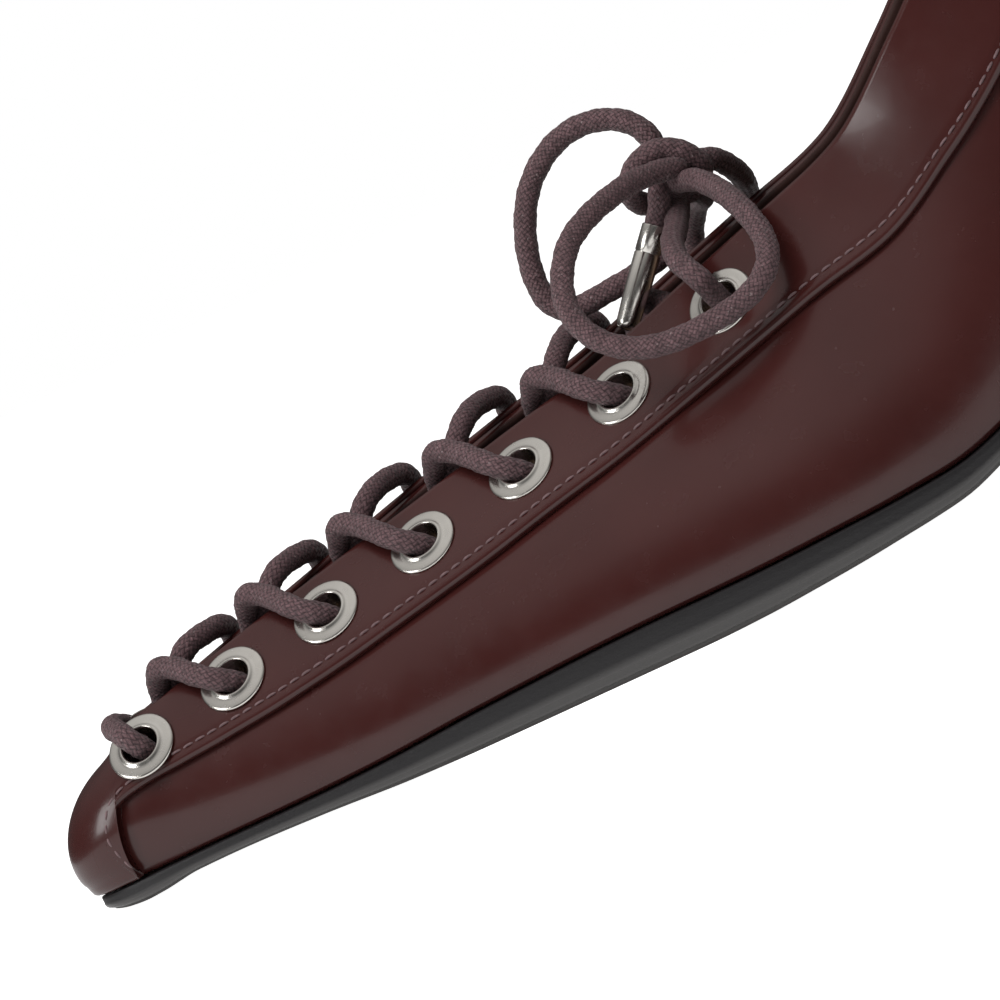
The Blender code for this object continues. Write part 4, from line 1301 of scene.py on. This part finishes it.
# Routes of the lace above the top eyelets: distance from the tip, outward or inward, and height
NEAR_LEAD = [
    (108.3, -23.2, 43.4),
    (106.9, -20.6, 46.6),
    (107.2, -15.6, 49.0),
    (108.6, -9.6, 50.6),
    (109.0, -7.4, 51.2),
]
FAR_LEAD = [
    (109.4, 23.0, 44.4),
    (110.8, 22.0, 48.4),
    (112.9, 17.4, 51.6),
    (113.9, 11.6, 52.2),
    (113.9, 6.6, 52.9),
    (113.0, 3.2, 53.9),
]
NEAR_LOOP = [
    (112.7, -6.5, 55.5),
    (113.8, -8.8, 55.1),
    (115.3, -11.8, 53.5),
    (116.7, -16.7, 51.0),
    (117.8, -21.2, 47.8),
    (118.2, -24.4, 44.4),
    (117.2, -27.0, 41.6),
    (115.0, -28.6, 39.7),
    (112.0, -29.2, 38.5),
    (108.2, -29.4, 37.9),
    (104.1, -29.4, 37.7),
    (100.3, -29.2, 38.0),
    (96.6, -29.0, 39.2),
    (93.4, -28.4, 41.6),
    (91.7, -27.6, 44.3),
    (91.1, -26.6, 47.1),
    (91.6, -25.2, 50.1),
    (92.9, -23.4, 52.7),
    (95.2, -20.8, 55.3),
    (98.9, -17.5, 57.2),
    (103.3, -13.5, 58.3),
    (106.6, -10.0, 58.6),
    (109.8, -7.2, 58.3),
]
FAR_LOOP = [
    (110.9, 1.7, 62.5),
    (109.8, 2.4, 65.2),
    (107.3, 3.6, 67.3),
    (103.3, 5.0, 68.4),
    (99.3, 6.2, 67.8),
    (95.6, 7.0, 65.8),
    (92.9, 7.3, 63.2),
    (90.7, 7.4, 59.6),
    (89.2, 7.2, 55.5),
    (88.6, 6.9, 51.3),
    (89.1, 6.4, 48.4),
    (90.6, 5.8, 46.8),
    (93.0, 5.2, 46.3),
    (96.4, 4.4, 46.5),
    (100.1, 3.6, 46.8),
    (103.8, 3.0, 47.3),
    (107.0, 2.8, 48.4),
    (109.6, 2.7, 51.4),
]
NEAR_TAIL = [
    (107.9, -5.1, 53.9),
    (107.2, -5.2, 52.9),
]
FAR_TAIL = [
    (115.3, 3.2, 57.3),
    (117.4, 5.2, 56.4),
    (118.9, 9.0, 54.6),
    (119.8, 13.2, 52.8),
    (120.0, 18.6, 50.9),
    (119.7, 22.0, 48.5),
]
AGLET_LENGTH = 14.5
AGLET_RADIUS = 1.8
NEAR_AGLET_WAY = (-10.0, -0.8, -11.3)
FAR_AGLET_WAY = (-1.0, 4.2, -9.6)

# The lace inside the knot: up to the near loop, back from it to the near end, and the far side's wrap
NEAR_RISE = [
    (109.5, -4.6, 52.0),
    (110.3, -1.8, 54.0),
    (111.2, -3.6, 55.7),
]
NEAR_RETURN = [
    (112.3, -4.9, 57.6),
    (112.0, -2.2, 56.5),
    (109.8, -2.4, 56.5),
    (108.6, -4.4, 55.4),
]
FAR_WRAP = [
    (109.4, 2.6, 54.0),
    (106.1, 0.8, 55.2),
    (105.2, -1.8, 57.2),
    (106.5, -3.7, 59.5),
    (109.0, -4.5, 60.9),
    (111.8, -4.5, 60.7),
    (114.2, -4.1, 58.8),
    (115.3, -2.8, 56.4),
    (114.0, -0.2, 54.9),
    (111.6, 1.2, 55.4),
    (110.6, 1.6, 58.0),
]
FAR_RETURN = [
    (110.4, 2.4, 53.2),
    (111.6, 1.8, 56.2),
    (114.4, 2.4, 57.6),
]


BRAID_YARNS = 12
BRAID_PITCH = 9.5
BRAID_RELIEF = 0.07
BRAID_STEP = 0.21
SPIN_COUNT = 48
ROUTE_STEP = 0.3


def end_caps(size):
    """Fans on both ends of a tube of so many points, whose two middle points come after them."""
    first = cap_fan(0, SPIN_COUNT, size, True)
    return np.concatenate([first, cap_fan(size - SPIN_COUNT, SPIN_COUNT, size + 1)])


def braid_tube(name, line):
    """A braided round cord along a line, as a tube whose surface carries two families of yarns.

    Round the cord and along it, one family climbs to the left and the other to the right. Where they
    cross, the one on top stands a little proud, and between them the surface sinks. The map braid
    holds the turn round the cord and the length along it in pitches.
    """
    run = run_along(line)
    count = max(8, int(run[-1] / BRAID_STEP))
    at = np.linspace(0, run[-1], count)
    line = np.stack([np.interp(at, run, line[:, k]) for k in range(3)], axis=1)
    for _ in range(6):
        line[1:-1] = 0.25 * line[:-2] + 0.5 * line[1:-1] + 0.25 * line[2:]
    first, second = carried_frames(line)
    phi = full_turn(SPIN_COUNT)
    turn, along = np.meshgrid(phi / (2 * math.pi), at / BRAID_PITCH, indexing="xy")
    left, right = BRAID_YARNS * (turn + along), BRAID_YARNS * (turn - along)
    on_top = np.mod(np.floor(left) + np.floor(right), 2) < 1
    ridge = np.sin(math.pi * np.where(on_top, left - np.floor(left), right - np.floor(right)))
    fade = np.clip(np.minimum(at, run[-1] - at) / 1.0, 0, 1)
    wobble = 0.022 * np.sin(at * 1.7 + len(name)) + 0.016 * np.sin(at * 4.3)
    reach = CORD_RADIUS * (CORD_FULLNESS + wobble[:, None]) + BRAID_RELIEF * ridge
    reach = reach * np.sqrt(np.clip(1 - (1 - fade) ** 2, 0.02, 1))[:, None]
    spoke = np.cos(phi)[None, :, None] * first[:, None, :] + np.sin(phi)[None, :, None] * second[:, None, :]
    points = line[:, None, :] + reach[..., None] * spoke
    faces = quads(count, SPIN_COUNT, wrap_columns=True)
    size = count * SPIN_COUNT
    caps = end_caps(size)
    points = np.concatenate([points.reshape(-1, 3), line[:1], line[-1:]])
    made = add_mesh(name, points, [faces, caps], [finish_for("cotton")])
    row, place = faces // SPIN_COUNT, faces % SPIN_COUNT
    place[:, 1:3] = place[:, [0]] + 1
    mapped = np.stack([place / SPIN_COUNT, at[row] / BRAID_PITCH], axis=-1).reshape(-1, 2)
    mapped = np.concatenate([mapped, np.zeros((caps.size, 2))])
    layer = made.data.uv_layers.new(name="braid")
    layer.data.foreach_set("uv", mapped.astype(np.float32).ravel())
    mesh_out(made)
    return made, line


def through_hole(centre, normal):
    """Three points down through an eyelet, from its mouth to deeper in the shoe."""
    return [centre + normal * 0.6, centre - normal * 3.4, centre - normal * 6.0]


def beside_hole(centre, normal, edge, lift, share, along):
    """A point of a strand: lift over its height on the leather, a share of the way to the edge."""
    return centre + normal * (CORD_TOP + lift) + (edge - centre) * share + np.array([along, 0, 0])


def crossing_line(index, side):
    """A strand in full: from inside, up through the gap, over its own edge and down its own eyelet.

    The near strand lies flat along the overlay and turns down well before its eyelet. The far one
    comes up under it, stands as an arch and meets its edge beside its own eyelet.
    """
    centre, normal, _ = seats()[(index, side)]
    other, other_normal, _ = seats()[(index - 1, -side)]
    pitch = centre[0] - other[0]
    low = other - other_normal * (EYELET_SINK + FLANGE + 1.2)
    down = through_hole(centre, normal)[::-1]
    if side < 0:
        own, own_normal = edge_at(centre[0] - 0.40 * pitch, side)
        turn, _ = edge_at(centre[0] - 0.62 * pitch, side)
        inward, _ = edge_at(centre[0] - 0.72 * pitch, side)
        return [
            *down,
            beside_hole(centre, normal, own, -0.1, 0.12, -1.6),
            beside_hole(centre, normal, own, 0.4, 0.55, -1.0),
            own + own_normal * (CORD_TOP + 0.1) + np.array([0, 0, 0.2]),
            turn + np.array([0.2, 0.1, CORD_TOP + 1.0]),
            inward + np.array([0.5, 3.1, 2.3]),
            middle_between(centre[0] - 0.74 * pitch) + np.array([0.0, 1.2, -2.2]),
            low,
        ]
    own, own_normal = edge_at(centre[0] + 0.10 * pitch, side)
    arch, _ = edge_at(centre[0] - 0.16 * pitch, side)
    rise = middle_between(centre[0] - 0.36 * pitch)
    under, _ = edge_at(centre[0] - 0.58 * pitch, -side)
    return [
        *down,
        beside_hole(centre, normal, own, 0.2, 0.35, 0.9),
        own + own_normal * (CORD_TOP - 0.1),
        arch + np.array([0.5, -2.2, CORD_TOP + 0.5]),
        rise + np.array([0.2, -0.6, 3.7]),
        under + np.array([0.0, 4.4, 0.4]),
        (under + low) / 2 + np.array([0.0, 2.2, -0.6]),
        low,
    ]


def build_crossings():
    """The first bar and the crossings up the throat, one piece for each, with both strands."""
    centre_l, normal_l, _ = seats()[(0, -1)]
    centre_m, normal_m, _ = seats()[(0, 1)]
    route = through_hole(centre_l, normal_l)[::-1]
    for side, centre, normal in ((-1, centre_l, normal_l), (1, centre_m, normal_m)):
        edge, edge_normal = edge_at(centre[0] - 1.0, side)
        leg = [
            beside_hole(centre, normal, edge, -0.1, 0.20, -0.6),
            beside_hole(centre, normal, edge, -0.1, 0.60, -0.9),
            edge + edge_normal * (CORD_TOP - 0.5) + np.array([-0.6, 0, -0.4]),
        ]
        route += leg if side < 0 else leg[::-1]
    route += through_hole(centre_m, normal_m)
    bar, _ = braid_tube("lace_bar_braid", flowing(route))
    dress(bar, "lace_bar")
    for index in range(1, len(EYELETS)):
        strands = []
        for side in (-1, 1):
            if index < len(EYELETS) - 1:
                line = flowing(crossing_line(index, side))
            else:
                line = flowing(inner_line(index, side))
            name = f"lace_cross_{index + 1}_{'near' if side < 0 else 'far'}"
            strands.append(braid_tube(name, line)[0])
        for strand in strands:
            dress(strand, f"lace_cross_{index + 1}")


def inner_line(index, side):
    """A strand of the last crossing: up inside from the eyelet before, and on to the top eyelet."""
    centre, normal, _ = seats()[(index, side)]
    other, other_normal, _ = seats()[(index - 1, -side)]
    rise = 1.6 if side < 0 else -1.4
    peak = middle_between(centre[0] * 0.42 + other[0] * 0.58) + np.array([0.0, 0.0, rise])
    start = other - other_normal * (EYELET_SINK + FLANGE + 1.0)
    end = centre - normal * (EYELET_SINK + FLANGE + 1.6)
    return [start, start * 0.45 + peak * 0.55 + [0, 0, -0.4], peak, end * 0.5 + peak * 0.5, end]


def turned_piece(name, start, way, profile, kind):
    """A turned form along an axis: profile rows are (distance along it, radius)."""
    way = unit(way)
    first = np.cross(way, [0.0, 1.0, 0.0])
    first /= np.linalg.norm(first)
    second = np.cross(way, first)
    phi = full_turn(SPIN_COUNT)
    spoke = np.cos(phi)[:, None] * first + np.sin(phi)[:, None] * second
    profile = np.asarray(profile, float)
    points = start + profile[:, 0, None, None] * way + profile[:, 1, None, None] * spoke
    size = len(profile) * SPIN_COUNT
    ends = np.array([start + profile[0, 0] * way, start + profile[-1, 0] * way])
    faces = quads(len(profile), SPIN_COUNT, wrap_columns=True)
    points = np.concatenate([points.reshape(-1, 3), ends])
    made = add_mesh(name, points, [faces, end_caps(size)], [finish_for(kind)])
    mesh_out(made)
    return made


def build_aglet(name, tail, way):
    """The metal end: a sleeve crimped by one groove, a slight taper and a rounded tip."""
    way = unit(way)
    start = np.array(tail[-1]) + way * (GAP + 1.1)
    groove = 0.26 * AGLET_LENGTH
    turn = np.radians(np.linspace(0, 84, 8))
    tip = 1.3
    shoulder, end_radius = AGLET_LENGTH - tip, AGLET_RADIUS - 0.2
    profile = [
        (0.35, AGLET_RADIUS - 0.32),
        (0.02, AGLET_RADIUS - 0.26),
        (-0.06, AGLET_RADIUS - 0.14),
        (0.0, AGLET_RADIUS - 0.03),
        (0.14, AGLET_RADIUS),
        (groove - 0.16, AGLET_RADIUS),
        (groove - 0.05, AGLET_RADIUS - 0.12),
        (groove + 0.05, AGLET_RADIUS - 0.12),
        (groove + 0.16, AGLET_RADIUS),
        (0.7 * AGLET_LENGTH, AGLET_RADIUS - 0.06),
        (shoulder, end_radius),
        *[(shoulder + tip * math.sin(t), end_radius * math.cos(t) ** 0.7) for t in turn[1:]],
    ]
    return turned_piece(name, start, way, profile, "nickel")


def build_bow():
    """The two ends of the lace above the top eyelets, tied in a bow, each one round cord."""
    for side, lead, rise, loop, back, tail, way in (
        (-1, NEAR_LEAD, NEAR_RISE, NEAR_LOOP, NEAR_RETURN, NEAR_TAIL, NEAR_AGLET_WAY),
        (1, FAR_LEAD, FAR_WRAP, FAR_LOOP, FAR_RETURN, FAR_TAIL, FAR_AGLET_WAY),
    ):
        letter = "l" if side < 0 else "m"
        near = side < 0
        centre, normal, _ = seats()[(len(EYELETS) - 1, side)]
        hidden = [centre - normal * (EYELET_SINK + 2.0), centre + normal * 0.5]
        into = np.array(tail[-1]) + unit(way) * (GAP + 2.6)
        route = flowing([*hidden, *lead, *rise, *loop, *back, *tail, into])
        cord, line = braid_tube(f"lace_{letter}_braid", route)
        aglet = build_aglet(f"aglet_{letter}_nickel", tail, way)
        dress(aglet, f"aglet_{letter}", slot="nickel")
        nodes = [f"lace_lead_{letter}", f"lace_loop_{'near' if near else 'far'}", f"lace_tail_{letter}"]
        if near:
            nodes.append("lace_knot")
        dress(cord, *nodes)


# Stage

def build_stage():
    """A wide white floor, a studio that is white behind and dim around, soft lights and the camera."""
    scene = bpy.context.scene
    look = scene.heel_look
    mesh = bpy.data.meshes.new("floor")
    reach = 14.0
    corners = [(-reach, -reach, 0), (reach, -reach, 0), (reach, reach, 0), (-reach, reach, 0)]
    mesh.from_pydata(corners, [], [(0, 1, 2, 3)])
    floor = bpy.data.objects.new("floor", mesh)
    scene.collection.objects.link(floor)
    made, shader, node, link = new_material("floor_paper")
    shader.inputs["Base Color"].default_value = (0.6, 0.6, 0.6, 1.0)
    shader.inputs["Roughness"].default_value = 0.9
    shader.inputs["Specular IOR Level"].default_value = 0.0
    shader.inputs["Emission Color"].default_value = (1.0, 1.0, 1.0, 1.0)
    seen = node("ShaderNodeMapRange")
    seen.inputs["To Min"].default_value = look.floor_glow
    seen.inputs["To Max"].default_value = 1.0
    link(node("ShaderNodeLightPath").outputs["Is Camera Ray"], seen.inputs["Value"])
    link(seen.outputs["Result"], shader.inputs["Emission Strength"])
    mesh.materials.append(made)
    build_surround(scene, look)
    for name, place, size, power, aim, mirrored in (
        ("key", (-0.45, -0.75, 1.2), (0.9, 0.7), look.key_power, (0.0, 0.0, 0.03), False),
        ("toe_side", (-1.25, -0.50, 0.55), (0.45, 0.6), look.fill_power, (-0.1, 0.0, 0.02), True),
    ):
        lamp = bpy.data.lights.new(name, "AREA")
        lamp.shape = "RECTANGLE"
        lamp.size, lamp.size_y = size
        lamp.energy = power
        held = bpy.data.objects.new(name, lamp)
        held.location = place
        held.visible_glossy = mirrored
        way = Vector(aim) - Vector(place)
        held.rotation_euler = way.to_track_quat("-Z", "Y").to_euler()
        scene.collection.objects.link(held)
    scene.view_settings.view_transform = "Standard"
    place_camera(look)


def build_surround(scene, look):
    """The studio round the shoe: white where it is seen, and as a light dim low down and bright on top."""
    world = bpy.data.worlds.new("studio")
    world.use_nodes = True
    tree = world.node_tree
    where = tree.nodes.new("ShaderNodeTexCoord")
    split = tree.nodes.new("ShaderNodeSeparateXYZ")
    tree.links.new(where.outputs["Generated"], split.inputs["Vector"])
    height = tree.nodes.new("ShaderNodeMapRange")
    height.inputs["From Min"].default_value = -1.0
    tree.links.new(split.outputs["Z"], height.inputs["Value"])
    band = tree.nodes.new("ShaderNodeValToRGB")
    stops = [(0.49, 0.11), (0.56, 0.06), (0.68, 0.08), (0.80, 0.20), (0.93, 0.42), (1.0, 0.60)]
    while len(band.color_ramp.elements) < len(stops):
        band.color_ramp.elements.new(0.5)
    for element, (place, level) in zip(band.color_ramp.elements, stops):
        element.position = place
        element.color = (level, level * 0.985, level * 0.97, 1.0)
    tree.links.new(height.outputs["Result"], band.inputs["Fac"])
    path = tree.nodes.new("ShaderNodeLightPath")
    seen = tree.nodes.new("ShaderNodeMix")
    seen.data_type = "RGBA"
    tree.links.new(path.outputs["Is Camera Ray"], seen.inputs["Factor"])
    tree.links.new(band.outputs["Color"], seen.inputs[6])
    seen.inputs[7].default_value = (1.0, 1.0, 1.0, 1.0)
    tree.links.new(seen.outputs[2], tree.nodes["Background"].inputs["Color"])
    tree.nodes["Background"].inputs["Strength"].default_value = look.surround
    scene.world = world


def place_camera(look):
    """The camera looks at the middle of the forepart, slightly from above and rolled as the photo is."""
    azimuth, elevation, roll = (math.radians(turn) for turn in (look.azimuth, look.elevation, look.roll))
    flat = math.cos(elevation)
    away = np.array([math.sin(azimuth) * flat, -math.cos(azimuth) * flat, math.sin(elevation)])
    level = np.array([math.cos(azimuth), math.sin(azimuth), 0.0])
    rise = np.cross(away, level)
    right = math.cos(roll) * level - math.sin(roll) * rise
    up = math.sin(roll) * level + math.cos(roll) * rise
    target = to_frame((look.aim_x, look.aim_y, look.aim_z))
    place = target + away * look.distance
    data = bpy.data.cameras.new("photo_camera")
    data.sensor_width = 36.0
    data.lens = look.lens
    data.clip_start, data.clip_end = 0.01, 60.0
    camera = bpy.data.objects.new("photo_camera", data)
    turn = Matrix(np.column_stack([right, up, away]).tolist()).to_4x4()
    camera.matrix_world = Matrix.Translation(Vector(place.tolist())) @ turn
    bpy.context.scene.collection.objects.link(camera)
    bpy.context.scene.camera = camera


# Settings, operators and panel

class HeelLook(bpy.types.PropertyGroup):
    """Colours, gloss, lights and camera that a user would change."""

    leather: FloatVectorProperty(
        name="Leather", description="Colour of the polished leather", subtype="COLOR", size=4,
        default=(0.050, 0.0118, 0.0105, 1.0), min=0, max=1,
    )
    leather_deep: FloatVectorProperty(
        name="Deep leather", description="Darker tone of the leather's clouding", subtype="COLOR", size=4,
        default=(0.040, 0.0088, 0.0078, 1.0), min=0, max=1,
    )
    lace: FloatVectorProperty(
        name="Lace", description="Colour of the cotton lace", subtype="COLOR", size=4,
        default=(0.128, 0.075, 0.080, 1.0), min=0, max=1,
    )
    gloss_low: FloatProperty(name="Gloss, low", description="Lowest roughness of the leather", default=0.2)
    gloss_high: FloatProperty(name="Gloss, high", description="Highest roughness of leather", default=0.3)
    coat: FloatProperty(name="Polish", description="Weight of the clear polish", default=0.15)
    surround: FloatProperty(name="Surround", description="Strength of the white surround", default=1.0)
    key_power: FloatProperty(name="Key", description="Power of the key light", default=15.5, unit="POWER")
    fill_power: FloatProperty(name="Fill", description="Power of the toe light", default=4.6, unit="POWER")
    floor_glow: FloatProperty(name="Floor glow", description="Light of the floor on the shoe", default=0.34)
    azimuth: FloatProperty(name="Azimuth", description="Camera azimuth in degrees", default=1.5)
    elevation: FloatProperty(name="Elevation", description="Camera elevation in degrees", default=2.5)
    roll: FloatProperty(name="Roll", description="Camera roll in degrees", default=26.0)
    aim_x: FloatProperty(name="Aim X", description="Aim point behind the tip, in millimetres", default=71.95)
    aim_y: FloatProperty(name="Aim Y", description="Aim point across, in millimetres", default=-15.0)
    aim_z: FloatProperty(name="Aim Z", description="Aim point's height, in millimetres", default=28.3)
    distance: FloatProperty(name="Distance", description="Camera distance", default=1.0, unit="LENGTH")
    lens: FloatProperty(name="Lens", description="Focal length in millimetres", default=270.0)


def make_operator(name, label, words, work):
    """An operator that runs one building function."""

    def execute(self, context):
        work()
        return {"FINISHED"}

    return type(
        f"HEEL_OT_{name}",
        (bpy.types.Operator,),
        {"bl_idname": f"heel.{name}", "bl_label": label, "__doc__": words, "execute": execute},
    )


OPERATORS = [
    make_operator("stage", "Stage", "Builds the floor, the lights and the camera", build_stage),
    make_operator("bow", "Bow", "Ties the two ends of the lace in a bow, with their metal ends", build_bow),
    make_operator("upper", "Upper", "Builds the polished upper and its lining", build_upper),
    make_operator("facing", "Facing", "Builds the overlay with the eyelet holes", build_facing),
    make_operator("stitches", "Stitches", "Sews the row of thread along the overlay", build_stitches),
    make_operator("eyelets", "Eyelets", "Turns the nickel eyelets", build_eyelets),
    make_operator("crossings", "Crossings", "Braids the bar and the crossings of the lace", build_crossings),
    make_operator("outsole", "Outsole", "Builds the trimmed sole", build_outsole),
    make_operator("insole", "Insole", "Builds the sock inside", build_insole),
    make_operator("heel", "Heel", "Builds the covered heel and its tip", build_heel),
]


class HEEL_PT_panel(bpy.types.Panel):
    """Lists the building steps in the sidebar."""

    bl_label = "Lace Up Heel"
    bl_idname = "HEEL_PT_panel"
    bl_space_type = "VIEW_3D"
    bl_region_type = "UI"
    bl_category = "Heel"

    def draw(self, context):
        for kind in OPERATORS:
            self.layout.operator(kind.bl_idname)


CLASSES = [HeelLook, *OPERATORS, HEEL_PT_panel]


def register():
    """Registers the classes and the scene's settings."""
    for kind in CLASSES:
        bpy.utils.register_class(kind)
    bpy.types.Scene.heel_look = PointerProperty(type=HeelLook)


def unregister():
    """Takes the classes and the settings away."""
    del bpy.types.Scene.heel_look
    for kind in reversed(CLASSES):
        bpy.utils.unregister_class(kind)


def main():
    """Runs the steps in order and writes the sizes of the solids and of the dressed model."""
    register()
    for kind in OPERATORS:
        group, name = kind.bl_idname.split(".")
        getattr(getattr(bpy.ops, group), name)()


if __name__ == "__main__":
    main()
